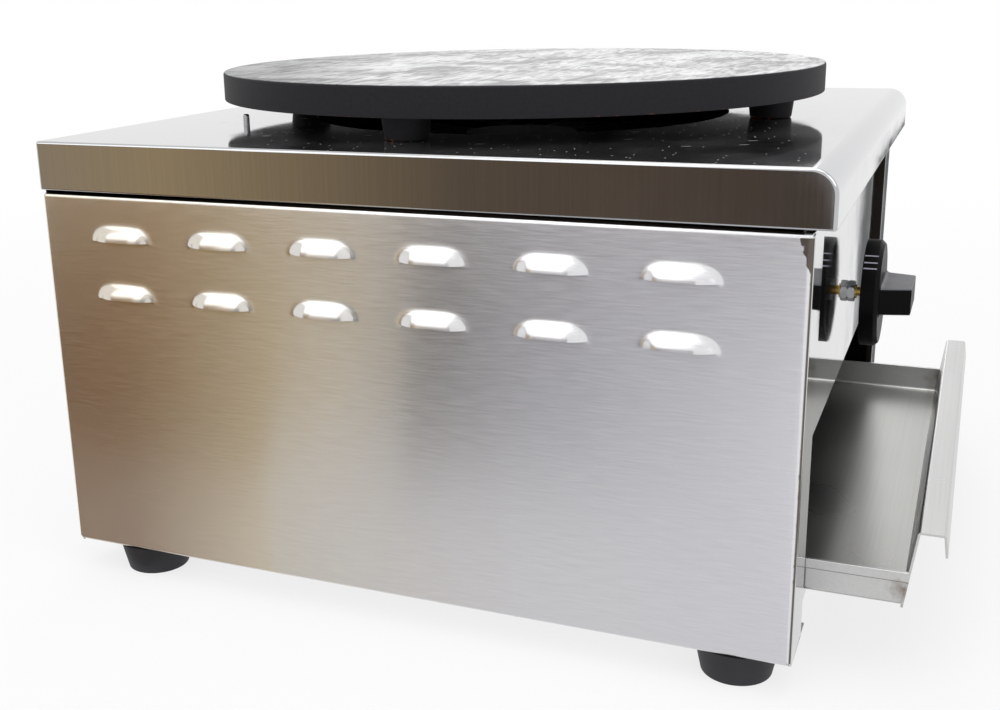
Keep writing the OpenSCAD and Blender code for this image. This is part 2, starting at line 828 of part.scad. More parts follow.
module valve_spindle() {
    color("goldenrod") {
        spindle_end(spindle_d, spindle_in, flat_depth);
        rod_y([0, y_knob, z_valve], spindle_d, y_plug + tail_in - y_knob);
        rod_y([0, y_collar, z_valve], collar_d, collar_t);
    }
}

module panel_nut() {
    color("lightgray") translate([0, y_panel - panel_nut_t, z_valve]) rotate([-90, 0, 0])
        nut(neck_d + 2 * run_clear, panel_nut_af, panel_nut_t);
}

module control_knob() {
    r = knob_d / 2;
    disc = [[0, 0], [r, 0], [r, knob_disc_t - knob_chamfer], [r - knob_chamfer, knob_disc_t],
        [0, knob_disc_t]];
    grip = [[-grip_base_l / 2, 0], [grip_base_l / 2, 0], [grip_end_l / 2, -grip_h],
        [-grip_end_l / 2, -grip_h]];
    color([0.1, 0.1, 0.11]) difference() {
        union() {
            translate([0, y_knob, z_valve]) rotate([90, 0, 0]) rotate_extrude() polygon(disc);
            translate([0, y_disc, z_valve - grip_t / 2]) linear_extrude(grip_t) polygon(grip);
        }
        difference() {
            rod_y([0, y_disc + knob_web, z_valve], knob_d - 2 * knob_wall, knob_disc_t);
            rod_y([0, y_disc, z_valve], knob_boss_d, knob_disc_t - boss_recess);
        }
        spindle_end(spindle_d + 2 * run_clear, spindle_in + fit_gap, flat_depth);
        rod_y([0, y_knob - run_clear, z_valve], spindle_d + 2 * run_clear, over);
    }
}

// Gas supply

// Straight length of the supply pipe, up from the XY plane
module pipe(l) {
    difference() {
        cylinder(d = pipe_d, h = l);
        translate([0, 0, -over]) cylinder(d = pipe_d - 2 * pipe_wall, h = l + 2 * over);
    }
}

module supply_pipe() {
    x0 = x_port - port_socket;
    x1 = inlet_x - pipe_bend_r;
    y1 = y_port + pipe_bend_r;
    color("goldenrod") {
        translate([x0, y_port, z_valve]) rotate([0, 90, 0]) pipe(x1 - x0);
        translate([x1, y1, z_valve]) rotate([0, 0, -90]) rotate_extrude(angle = 90)
            translate([pipe_bend_r, 0]) difference() {
                circle(d = pipe_d);
                circle(d = pipe_d - 2 * pipe_wall);
            }
        translate([inlet_x, y1, z_valve]) rotate([-90, 0, 0]) pipe(y_nipple + nipple_socket - y1);
    }
}

module pipe_nut() {
    color("goldenrod") translate([x_port, y_port, z_valve]) rotate([0, 90, 0])
        nut(pipe_d + 2 * run_clear, pipe_nut_af, pipe_nut_t);
}

// Bulkhead nipple: shank through the back panel, hexagon outside it and the male pipe thread
module inlet_nipple() {
    y_end = y_back + inlet_out;
    color("goldenrod") difference() {
        union() {
            rod_y([inlet_x, y_nipple, z_valve], shank_d, y_hex + locknut_t / 2 - y_nipple);
            translate([inlet_x, y_hex, z_valve]) rotate([-90, 0, 0]) hexagon(locknut_af, locknut_t);
            rod_y([inlet_x, y_hex + locknut_t / 2, z_valve], inlet_d, y_end - y_hex - locknut_t / 2);
        }
        rod_y([inlet_x, y_nipple - over, z_valve], pipe_d - 2 * pipe_wall, y_end - y_nipple + 2 * over);
        rod_y([inlet_x, y_nipple - over, z_valve], pipe_d + 2 * run_clear, nipple_socket + over);
    }
}

module inlet_seal() {
    color("firebrick") difference() {
        rod_y([inlet_x, y_back, z_valve], locknut_af, seal_t);
        rod_y([inlet_x, y_back - over, z_valve], shank_d + 2 * screw_clear, seal_t + 2 * over);
    }
}

module inlet_locknut() {
    color("goldenrod") translate([inlet_x, y_back - sheet_t - locknut_t, z_valve]) rotate([-90, 0, 0])
        nut(shank_d + 2 * run_clear, locknut_af, locknut_t);
}

// Feet and fasteners

module foot() {
    color([0.12, 0.12, 0.12]) difference() {
        cylinder(d1 = foot_base_d, d2 = foot_top_d, h = foot_h);
        rod_z([0, 0, -over], foot_bore_d, foot_bore_h + over);
        rod_z([0, 0, 0], foot_screw_d + 2 * screw_clear, foot_h + over);
    }
}

module foot_screws() {
    z_seat = foot_bore_h - washer_t;
    color("lightgray") at_feet() translate([0, 0, z_seat]) rotate([180, 0, 0])
        screw(foot_screw_d, foot_head_d, foot_head_h, z_floor - z_seat + foot_nut_t + screw_tip);
}

module foot_washers() {
    color("lightgray") at_feet() difference() {
        rod_z([0, 0, foot_bore_h - washer_t], washer_d, washer_t);
        rod_z([0, 0, 0], foot_screw_d + 2 * screw_clear, foot_h);
    }
}

module foot_nuts() {
    color("lightgray") at_feet() translate([0, 0, z_floor])
        nut(foot_screw_d + 2 * run_clear, foot_nut_af, foot_nut_t);
}

module cover_screws() {
    color("lightgray") at_cover_screws() screw(screw_d, screw_head_d, screw_head_h, screw_l);
}

module panel_screws() {
    color("lightgray") at_panel_screws() screw(screw_d, screw_head_d, screw_head_h, screw_l);
}

top_cover();
left_side_panel();
right_side_panel();
front_panel();
back_panel();
bottom_panel();
left_drawer_rail();
right_drawer_rail();
drawer_tray();
drawer_front();
griddle_plate();
deck_studs();
burner_head();
mixing_tube();
air_shutter();
shutter_screw();
injector();
valve_body();
valve_plug();
valve_spring();
valve_spindle();
panel_nut();
control_knob();
pipe_nut();
supply_pipe();
inlet_nipple();
inlet_seal();
inlet_locknut();
front_bridge();
rear_bridge();
bridge_screws();
bridge_nuts();
for (i = [0:3]) at_foot(FEET[i]) foot();
foot_screws();
foot_washers();
foot_nuts();
cover_screws();
panel_screws();
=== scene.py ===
"""Looks of the gas crepe maker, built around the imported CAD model. Metres, in the model's own frame."""
import math

import bmesh
import bpy
from mathutils import Euler, Matrix, Vector


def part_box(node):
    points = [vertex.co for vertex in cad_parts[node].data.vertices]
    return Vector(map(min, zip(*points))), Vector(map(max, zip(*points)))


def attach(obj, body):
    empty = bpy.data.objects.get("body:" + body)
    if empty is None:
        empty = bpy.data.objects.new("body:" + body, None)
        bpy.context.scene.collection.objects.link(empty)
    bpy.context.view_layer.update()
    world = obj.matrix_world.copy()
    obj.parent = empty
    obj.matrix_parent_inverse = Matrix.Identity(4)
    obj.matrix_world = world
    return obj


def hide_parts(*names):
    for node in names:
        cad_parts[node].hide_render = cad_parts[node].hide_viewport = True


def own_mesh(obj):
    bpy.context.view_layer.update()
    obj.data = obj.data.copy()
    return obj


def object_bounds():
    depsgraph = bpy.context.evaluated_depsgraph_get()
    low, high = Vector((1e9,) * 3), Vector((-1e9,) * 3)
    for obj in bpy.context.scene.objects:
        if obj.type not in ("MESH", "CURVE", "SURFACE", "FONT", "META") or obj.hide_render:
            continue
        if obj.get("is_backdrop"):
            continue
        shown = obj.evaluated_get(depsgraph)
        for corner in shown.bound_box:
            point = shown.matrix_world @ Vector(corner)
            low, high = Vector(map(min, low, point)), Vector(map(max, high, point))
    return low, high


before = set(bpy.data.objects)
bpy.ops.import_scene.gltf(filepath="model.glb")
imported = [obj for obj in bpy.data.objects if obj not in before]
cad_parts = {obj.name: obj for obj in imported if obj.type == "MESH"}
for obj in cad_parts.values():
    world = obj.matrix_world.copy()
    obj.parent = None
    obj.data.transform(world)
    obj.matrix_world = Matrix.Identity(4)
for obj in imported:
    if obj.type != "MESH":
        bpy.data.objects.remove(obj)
cad_low, cad_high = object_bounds()

MM = 0.001
TINY = 0.02 * MM
SHEET = 1.2 * MM
SKIRT_GAP = 0.4 * MM
SEAM = 1.0 * MM

# Cutters stand out of what they cut, and pieces that are united lie in one another
CUT_SPARE = 5 * MM
OVERLAP = 1 * MM

# A face looks along an axis if its normal has this much of it
FACING = 0.9

# Most of a noise pattern's values lie between these two
NOISE_LOW = 0.3
NOISE_HIGH = 0.7

# Settings of a Mix node that mixes colours, with its colour output
IN_COLOUR = {"out": 2, "data_type": "RGBA"}

# Places taken from the CAD model
cover_low, cover_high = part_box("top_cover")
side_low, side_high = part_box("left_side_panel")
front_low, front_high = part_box("front_panel")
back_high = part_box("back_panel")[1]
tray_low, tray_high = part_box("drawer_tray")
pull_low, pull_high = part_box("drawer_front")
plate_low, plate_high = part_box("griddle_plate")
knob_low, knob_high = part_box("control_knob")
nut_low, nut_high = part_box("panel_nut")
foot_low, foot_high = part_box("front_left_foot")
nipple_low, nipple_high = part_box("inlet_nipple")
spring_low, spring_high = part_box("valve_spring")
x_side = cover_high.x - SHEET - SKIRT_GAP
z_under = side_low.z
panel_top = cover_low.z - SEAM
valve_axis = (knob_low + knob_high) / 2
plate_mid = (plate_low + plate_high) / 2

# Folded sheet
COVER_FRONT_BEND = 13 * MM
COVER_EDGE_BEND = 1.8 * MM
SKIRT_EASE = 1.0 * MM
PANEL_BEND = 2.6 * MM
REAR_BEND = 1.6 * MM
EDGE_BEND = 3.6 * MM
STRIP_BEND = 1.2 * MM
STRIP_GAP = 1.5 * MM
PANEL_FOLD = 15 * MM
FOLD_MITRE = 14 * MM
FOOT_FOLD = 49.4 * MM
FLAME_HOLE_R = 140 * MM

# Louvres, as they are pressed out of the side panels
LOUVRE_COLS = 6
LOUVRE_ROWS = 2
LOUVRE_PITCH = 66.5 * MM
LOUVRE_ROW_PITCH = 35 * MM
LOUVRE_Y = 8.4 * MM
LOUVRE_Z = z_under + 199.1 * MM
LOUVRE_HALF = 19 * MM
LOUVRE_H = 8.3 * MM
LOUVRE_OUT = 4.5 * MM
LOUVRE_END = 10 * MM
LOUVRE_EASE = 5 * MM
LOUVRE_CROWN = 2
LOUVRE_FILLET = 1.4 * MM
LOUVRE_MARGIN = 4 * MM
LOUVRE_CELL = 1 * MM
PATCH_H = math.ceil(LOUVRE_H / LOUVRE_CELL) * LOUVRE_CELL + 2 * LOUVRE_MARGIN
PATCH_L = 2 * (LOUVRE_HALF + LOUVRE_MARGIN)
BLANK_BORDER = 8 * MM

# Control panel, valve neck and nut
CONTROL_BEND = 1.8 * MM
NECK_R = 4.5 * MM
NECK_HOLE_R = 4.7 * MM
NECK_BORE_R = NECK_R + 0.05 * MM
NUT_CHAMFER = 0.1

# Drawer
DRAWER_LEAN = 5.8 * MM
TRAY_HEM = 5.5 * MM
TRAY_BEND = 2 * MM
HEM_ROLL = 1.15 * MM
HEM_SHEET = 1.1 * MM
HANDLE_W = 13.5 * MM
HANDLE_LIP = 12 * MM
HANDLE_BEND = 1.4 * MM

# Griddle plate
PLATE_T = 17.8 * MM
PLATE_EASE = 1.5 * MM
PLATE_FOOT_EASE = 0.4 * MM
PLATE_TURN = math.radians(2.6)
POST_RING_R = 170 * MM
POST_BASE_R = 12.75 * MM
POST_TOP_R = 14.5 * MM
POST_FILLET = 4 * MM
POST_EASE = 1.2 * MM
FLARE_STEPS = 4

# Knob
KNOB_DISC_T = 11 * MM
KNOB_CHAMFER = 2.4 * MM
KNOB_EASE = 0.35 * MM
KNOB_WALL = 3 * MM
KNOB_WEB = 4 * MM
KNOB_RIBS = (-36, -45, -52)
RIB_HALF = 0.4 * MM
RIB_H = 0.4 * MM
RIB_END = 0.6 * MM
BOSS_R = 7 * MM
BOSS_RECESS = 0.3 * MM
GRIP_BASE = 26 * MM
GRIP_END = 21 * MM
GRIP_T = 17 * MM
GRIP_FILLET = 2.6 * MM
GRIP_ROUND = 2.6 * MM
GRIP_EASE = 0.8 * MM
GRIP_STEPS = 5

# Feet
FOOT_BASE_R = 19 * MM
FOOT_BORE_R = 8 * MM
FOOT_HOLE_R = 3.2 * MM
FOOT_RECESS = 9 * MM
FOOT_EASE = 0.6 * MM

# Gas inlet
INLET_R = 10.4775 * MM
INLET_HEX_T = 6 * MM
SEAL_T = 1.5 * MM
THREAD_PITCH = 1.814 * MM
THREAD_DEPTH = 1.162 * MM
THREAD_STEP = 0.5 * MM
THREAD_RINGS = 8
RUN_OUT_FROM = 0.98
RUN_OUT_TURNS = 1.5
GAS_WAY_R = 4.5 * MM

# Screws and studs
SCREW_HEAD_R = 4 * MM
SCREW_HEAD_H = 2.6 * MM
SCREW_R = 2 * MM
SCREW_L = 8 * MM
SCREW_TAPER = 0.9
SCREW_CROWN = 0.5 * SCREW_HEAD_H
SCREW_ROOT = 0.5 * MM
CROSS_L = 4.6 * MM
CROSS_W = 1 * MM
CROSS_DEPTH = 1.4 * MM
STUD_R = 2 * MM
STUD_HEAD_R = 4 * MM
STUD_HEAD_T = 2 * MM
STUD_ROUND = 0.6 * STUD_R

# Return spring of the gas valve
SPRING_WIRE_R = 0.45 * MM
SPRING_WIRE_SIDES = 12
SPRING_TURNS = 4
SPRING_STEPS = 32
SPRING_END_GAP = 0.02 * MM

# Stage. A board has the panel that it shows in, its stretch there, its reaches, heights and colours
FLOOR_SIZE = 12
FLOOR_GLOW = 0.75
GLOW_NEAR = 0.4
GLOW_FAR = 1.6
ON_FLOOR = (0.002, 0.002)
SKY_LIGHT = 0.55
BOARDS = (
    ("low_board", "left", (-230, 330), (2.9, 2.9), (0, 0.3), ("#5A4F47", "#706152", "#BAA37E", "#A89B8E")),
    ("pale_mat", "left", (-230, 85), (1.0, 1.45), ON_FLOOR, ("#E6E5E8", "#D8D6D2")),
    ("tan_mat", "left", (85, 285), (1.0, 1.3), ON_FLOOR, ("#DCD5C8", "#A0928A", "#9A887C")),
    ("grey_mat", "left", (-230, -8), (1.45, 2.88), ON_FLOOR, ("#F4F4F8", "#B4B4BA", "#3A3838")),
    ("warm_mat", "left", (-8, 85), (1.45, 2.88), ON_FLOOR, ("#A8A498", "#CCBFA6", "#B8A783")),
    ("brown_mat", "left", (85, 285), (1.3, 2.88), ON_FLOOR, ("#B8A783", "#74502A", "#62401C")),
    ("high_board", "left", (100, 340), (3.4, 3.4), (0, 0.8), ("#7A5C34", "#50320F")),
    ("front_mat", "front", (57, 400), (1.2, 3.1), ON_FLOOR, ("#6E7072", "#6E7072")),
)
LAMPS = (
    ("overhead_lamp", (-0.3, -0.2, 1.9), (0, 0, 0.15), 1.6, 12),
    ("front_lamp", (-0.9, -1.5, 1.2), (0, 0, 0.15), 1.0, 6),
    ("far_lamp", (1.7, 0.45, 1.2), (0, 0, 0.15), 1.2, 8),
    ("side_lamp", (-1.45, 0.75, 1.15), (-0.2, 0.1, 0.15), 1.4, 7),
)

# Camera: where it stood, its angles in degrees, and its lens in the photograph's pixels
EYE = (-0.8146, -0.2887, 0.3576)
EYE_YAW = 23.04
EYE_PITCH = -15.46
EYE_ROLL = -1.18
SENSOR_WIDTH = 36
PHOTO_WIDTH = 1000
PHOTO_HEIGHT = 710
FOCAL_PIXELS = 1243
VIEW_CENTRE = (458.1, 332.4)


# Modelling helpers

def deselect():
    """Object mode with nothing selected."""
    if bpy.context.mode != "OBJECT":
        bpy.ops.object.mode_set(mode="OBJECT")
    bpy.ops.object.select_all(action="DESELECT")


def only(piece):
    """Selects one piece and makes it the active one."""
    deselect()
    piece.select_set(True)
    bpy.context.view_layer.objects.active = piece


def named(name, size=(1, 1, 1)):
    """The object that was just added, at its size, under its name and with its place in its mesh."""
    piece = bpy.context.object
    piece.name = name
    piece.data.name = name
    piece.scale = size
    bpy.ops.object.transform_apply(location=True, rotation=True, scale=True)
    return piece


def block(name, low, high):
    """Box between two corners, as stock for a piece."""
    deselect()
    bpy.ops.mesh.primitive_cube_add(size=1, location=(low + high) / 2)
    return named(name, high - low)


def rod(name, start, end, radius, end_radius=None, sides=64):
    """Round between two points, straight or tapered."""
    deselect()
    along = Vector(end) - Vector(start)
    bpy.ops.mesh.primitive_cone_add(
        vertices=sides, radius1=radius, radius2=radius if end_radius is None else end_radius,
        depth=along.length, location=(Vector(start) + Vector(end)) / 2,
        rotation=along.to_track_quat("Z", "Y").to_euler())
    return named(name)


def shape(piece):
    """Opens a piece in edit mode."""
    only(piece)
    bpy.ops.object.mode_set(mode="EDIT")


def pick(kind, test):
    """Selects the vertices, edges or faces of the open piece that pass a test."""
    bpy.ops.mesh.select_mode(type=kind)
    bpy.ops.mesh.select_all(action="DESELECT")
    mesh = bmesh.from_edit_mesh(bpy.context.object.data)
    for part in {"VERT": mesh.verts, "EDGE": mesh.edges, "FACE": mesh.faces}[kind]:
        if test(part):
            part.select_set(True)
    bmesh.update_edit_mesh(bpy.context.object.data)


def middle(edge):
    return (edge.verts[0].co + edge.verts[1].co) / 2


def is_fold(edge, degrees=50):
    """True for an edge where two faces meet at a sharper angle than this."""
    return len(edge.link_faces) == 2 and edge.calc_face_angle() > math.radians(degrees)


def bevel(offset, segments):
    bpy.ops.mesh.bevel(offset=offset, segments=segments, affect="EDGES", clamp_overlap=True)


def extrude(move):
    bpy.ops.mesh.extrude_region_move(TRANSFORM_OT_translate={"value": move})


def apply_modifier(piece, kind, **settings):
    only(piece)
    modifier = piece.modifiers.new(kind.title(), kind)
    for key, value in settings.items():
        setattr(modifier, key, value)
    bpy.ops.object.modifier_apply(modifier=modifier.name)


def thicken(piece, thickness=SHEET):
    """Gives a folded surface its sheet thickness, behind its face."""
    apply_modifier(piece, "SOLIDIFY", thickness=thickness, offset=-1, use_even_offset=True)


def cut(piece, *cutters):
    for cutter in cutters:
        apply_modifier(piece, "BOOLEAN", object=cutter, operation="DIFFERENCE", solver="EXACT")
        bpy.data.objects.remove(cutter)


def unite(piece, other):
    apply_modifier(piece, "BOOLEAN", object=other, operation="UNION", solver="EXACT")
    bpy.data.objects.remove(other)


def join(piece, *others):
    only(piece)
    for other in others:
        other.select_set(True)
    bpy.ops.object.join()
    return piece


def copy_moved(piece, name, matrix):
    """Copy of a piece with its own mesh, moved in its mesh."""
    twin = piece.copy()
    twin.data = piece.data.copy()
    twin.name = name
    twin.data.name = name
    twin.data.transform(matrix)
    if matrix.determinant() < 0:
        twin.data.flip_normals()
    bpy.context.scene.collection.objects.link(twin)
    return twin


def smooth(piece, angle=35):
    """Smooth shading that leaves flat faces flat."""
    only(piece)
    bpy.ops.object.shade_smooth_by_angle(angle=math.radians(angle))
    apply_modifier(piece, "WEIGHTED_NORMAL", keep_sharp=True, weight=100)


def stand_for(piece, body, slot, material, *nodes):
    """Dresses a finished piece and puts it in place of CAD nodes."""
    piece.data.materials.clear()
    piece.data.materials.append(material)
    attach(piece, body)
    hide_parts(*nodes)


# Material helpers

def colour(code):
    """Linear colour of an sRGB hex code."""
    parts = [int(code[i:i + 2], 16) / 255 for i in (1, 3, 5)]
    linear = [c / 12.92 if c <= 0.04045 else ((c + 0.055) / 1.055) ** 2.4 for c in parts]
    return (*linear, 1.0)


def add(tree, kind, inputs, out=0, **settings):
    """Adds one node with its settings, sets or links its inputs, and gives one of its outputs."""
    made = tree.nodes.new("ShaderNode" + kind)
    for key, value in settings.items():
        setattr(made, key, value)
    for key, value in inputs.items():
        if isinstance(value, bpy.types.NodeSocket):
            tree.links.new(value, made.inputs[key])
        else:
            made.inputs[key].default_value = value
    return made.outputs[out] if len(made.outputs) else made


def new_material(name):
    """Empty material, its node tree and the Object coordinates in it."""
    material = bpy.data.materials.new(name)
    material.use_nodes = True
    tree = material.node_tree
    tree.nodes.clear()
    return material, tree, add(tree, "TexCoord", {}, out="Object")


def per(*sizes):
    """Pattern scale from real sizes in millimetres, along each axis."""
    return tuple(1 / (size * MM) for size in sizes)


def close(material, shader):
    """Gives a material its surface."""
    add(material.node_tree, "OutputMaterial", {"Surface": shader})
    return material


# Finishes

def polished_stainless(deck_z):
    """Mirror-polished stainless sheet: clear reflections, hazed by smudges; dusty on the deck."""
    material, tree, coords = new_material("polished_stainless")
    smudges = add(tree, "TexNoise", {"Vector": coords, "Scale": per(40)[0], "Detail": 6.0})
    haze = add(tree, "MapRange", {"Value": smudges, 1: 0.4, 2: 0.75, 3: 0.03, 4: 0.1})
    # The polishing grain is drawn 1.2 mm wide, coarser than it is, so that it shows
    upright = add(tree, "Mapping", {"Vector": coords, "Scale": per(1.2, 1.2, 90)})
    grain = add(tree, "TexNoise", {"Vector": upright, "Scale": 1.0, "Detail": 3.0})
    waves = add(tree, "TexNoise", {"Vector": coords, "Scale": per(130)[0], "Detail": 1.0})
    dents = add(tree, "Bump", {"Height": waves, "Distance": 0.12 * MM, "Strength": 1.0})
    bumps = add(tree, "Bump", {"Height": grain, "Distance": 0.002 * MM, "Strength": 1.0, "Normal": dents})
    tone = add(tree, "MapRange", {"Value": grain, 1: NOISE_LOW, 2: NOISE_HIGH, 3: 0.92, 4: 1.0})
    steel = add(tree, "Mix", {0: 1.0, 6: colour("#BEBFC1"), 7: tone}, **IN_COLOUR, blend_type="MULTIPLY")
    # Dust, crumbs and short scratches lie only on the deck, over a thin film of grease
    height = add(tree, "SeparateXYZ", {"Vector": coords}, out="Z")
    on_deck = add(tree, "Math", {0: height, 1: deck_z - 0.3 * MM}, operation="GREATER_THAN")
    marks = add(tree, "MapRange", {"Value": smudges, 1: 0.35, 2: 0.75, 3: 0.03, 4: 0.1})
    for long, wide, turn, size in ((9, 9, 0, 0.05), (70, 9, -67, 0.04)):
        cells = add(tree, "Mapping", {
            "Vector": coords, "Scale": (long * MM, wide * MM, 1), "Rotation": (0, 0, math.radians(turn))},
            vector_type="TEXTURE")
        away = add(tree, "TexVoronoi", {"Vector": cells, "Scale": 1.0}, voronoi_dimensions="2D")
        luck = add(tree, "TexVoronoi", {"Vector": cells, "Scale": 1.0}, out="Color", voronoi_dimensions="2D")
        near = add(tree, "Math", {0: away, 1: size}, operation="LESS_THAN")
        some = add(tree, "Math", {0: luck, 1: 0.7}, operation="GREATER_THAN")
        speck = add(tree, "Math", {0: near, 1: some}, operation="MULTIPLY")
        marks = add(tree, "Math", {0: marks, 1: speck}, operation="MAXIMUM")
    dust = add(tree, "Math", {0: marks, 1: on_deck}, operation="MULTIPLY")
    tint = add(tree, "Mix", {0: dust, 6: steel, 7: colour("#D8D4CC")}, **IN_COLOUR)
    metal = add(tree, "Math", {0: 1.0, 1: dust}, operation="SUBTRACT")
    rough = add(tree, "Math", {0: haze, 1: dust}, operation="MAXIMUM")
    return close(material, add(tree, "BsdfPrincipled", {
        "Base Color": tint, "Metallic": metal, "Roughness": rough, "Normal": bumps}))


def brushed_stainless(inside_low, inside_high, edge):
    """Stainless sheet brushed along its length: streaked, drawn-out reflections.

    It is painted dark inside the cabinet, as painted shade. The left panel is painted warmer towards the
    back, and has a dark brown band down its front edge: both are painted reflections."""
    material, tree, coords = new_material("brushed_stainless")
    # The brush lines are drawn 0.5 mm wide, coarser than they are, so that they show
    level = add(tree, "Mapping", {"Vector": coords, "Scale": per(0.9, 16, 0.5)})
    lines = add(tree, "TexNoise", {"Vector": level, "Scale": 1.0, "Detail": 4.0})
    cloud = add(tree, "TexNoise", {"Vector": coords, "Scale": per(70)[0], "Detail": 2.0})
    gloss = add(tree, "MapRange", {"Value": lines, 1: NOISE_LOW, 2: NOISE_HIGH, 3: 0.21, 4: 0.25})
    x, y, z = [add(tree, "SeparateXYZ", {"Vector": coords}, out=axis) for axis in "XYZ"]
    # On the left panel the colour is painted warmer towards the back, as a painted reflection
    drift = add(tree, "Math", {0: cloud, 1: 0.1, 2: y}, operation="MULTIPLY_ADD")
    on_left = add(tree, "Math", {0: x, 1: edge.x + 1.5 * MM}, operation="LESS_THAN")
    warm_reflection = add(tree, "MapRange", {"Value": drift, 1: -0.02, 2: 0.25, 3: 0.0, 4: on_left})
    ground = add(tree, "Mix", {0: warm_reflection, 6: colour("#E2E2E5"), 7: colour("#DED6C8")}, **IN_COLOUR)
    tone = add(tree, "MapRange", {"Value": lines, 1: NOISE_LOW, 2: NOISE_HIGH, 3: 0.93, 4: 1.0})
    steel = add(tree, "Mix", {0: 1.0, 6: ground, 7: tone}, **IN_COLOUR, blend_type="MULTIPLY")
    # The painted brown reflection is 8 mm wide under the panel's upper bend and 1.5 mm wide from 18 mm
    # further down
    ragged = add(tree, "TexNoise", {"Vector": coords, "Scale": per(6)[0], "Detail": 4.0})
    uneven = add(tree, "MapRange", {"Value": ragged, 1: NOISE_LOW, 2: NOISE_HIGH, 3: 0.6, 4: 1.15})
    widest = add(tree, "MapRange", {
        "Value": z, 1: edge.z - 21 * MM, 2: edge.z - 3 * MM, 3: 1.5 * MM, 4: 8 * MM})
    rough_edge = add(tree, "Math", {0: widest, 1: uneven}, operation="MULTIPLY")
    width = add(tree, "Math", {0: rough_edge, 1: 1.5 * MM}, operation="MAXIMUM")
    behind = add(tree, "Math", {0: y, 1: edge.y}, operation="SUBTRACT")
    depth = add(tree, "Math", {0: width, 1: behind}, operation="SUBTRACT")
    patched = add(tree, "MapRange", {"Value": depth, 1: 0.0, 2: 0.5 * MM, 3: 0.0, 4: 0.95})
    low_enough = add(tree, "Math", {0: z, 1: edge.z - 3 * MM}, operation="LESS_THAN")
    here = add(tree, "Math", {0: on_left, 1: low_enough}, operation="MULTIPLY")
    brown_patch = add(tree, "Math", {0: patched, 1: here}, operation="MULTIPLY")
    # The band is laid over the steel as a dark brown painted reflection
    marked = add(tree, "Mix", {0: brown_patch, 6: steel, 7: colour("#584F46")}, **IN_COLOUR)
    # How far a place lies outside the cabinet's inner box, along the axis where that is most
    box_mid = (inside_low + inside_high) / 2
    from_mid = add(tree, "VectorMath", {0: coords, 1: box_mid}, operation="SUBTRACT")
    mirrored = add(tree, "VectorMath", {0: from_mid}, operation="ABSOLUTE")
    past = add(tree, "VectorMath", {0: mirrored, 1: inside_high - box_mid}, operation="SUBTRACT")
    past_x, past_y, past_z = [add(tree, "SeparateXYZ", {"Vector": past}, out=axis) for axis in "XYZ"]
    past_xy = add(tree, "Math", {0: past_x, 1: past_y}, operation="MAXIMUM")
    outside = add(tree, "Math", {0: past_xy, 1: past_z}, operation="MAXIMUM")
    # Inside the box the sheet is painted dark and dull, as painted shade
    in_painted_shade = add(tree, "Math", {0: outside, 1: 0.0}, operation="LESS_THAN")
    tint = add(tree, "Mix", {0: in_painted_shade, 6: marked, 7: colour("#2B2724")}, **IN_COLOUR)
    rough = add(tree, "Mix", {0: in_painted_shade, 2: gloss, 3: 0.6}, data_type="FLOAT")
    bumps = add(tree, "Bump", {"Height": lines, "Distance": 0.0015 * MM, "Strength": 1.0})
    lay = add(tree, "Tangent", {}, direction_type="RADIAL", axis="Z")
    return close(material, add(tree, "BsdfPrincipled", {
        "Base Color": tint, "Metallic": 1.0, "Roughness": rough, "Normal": bumps,
        "Anisotropic": 0.95, "Anisotropic Rotation": 0.25, "Tangent": lay}))


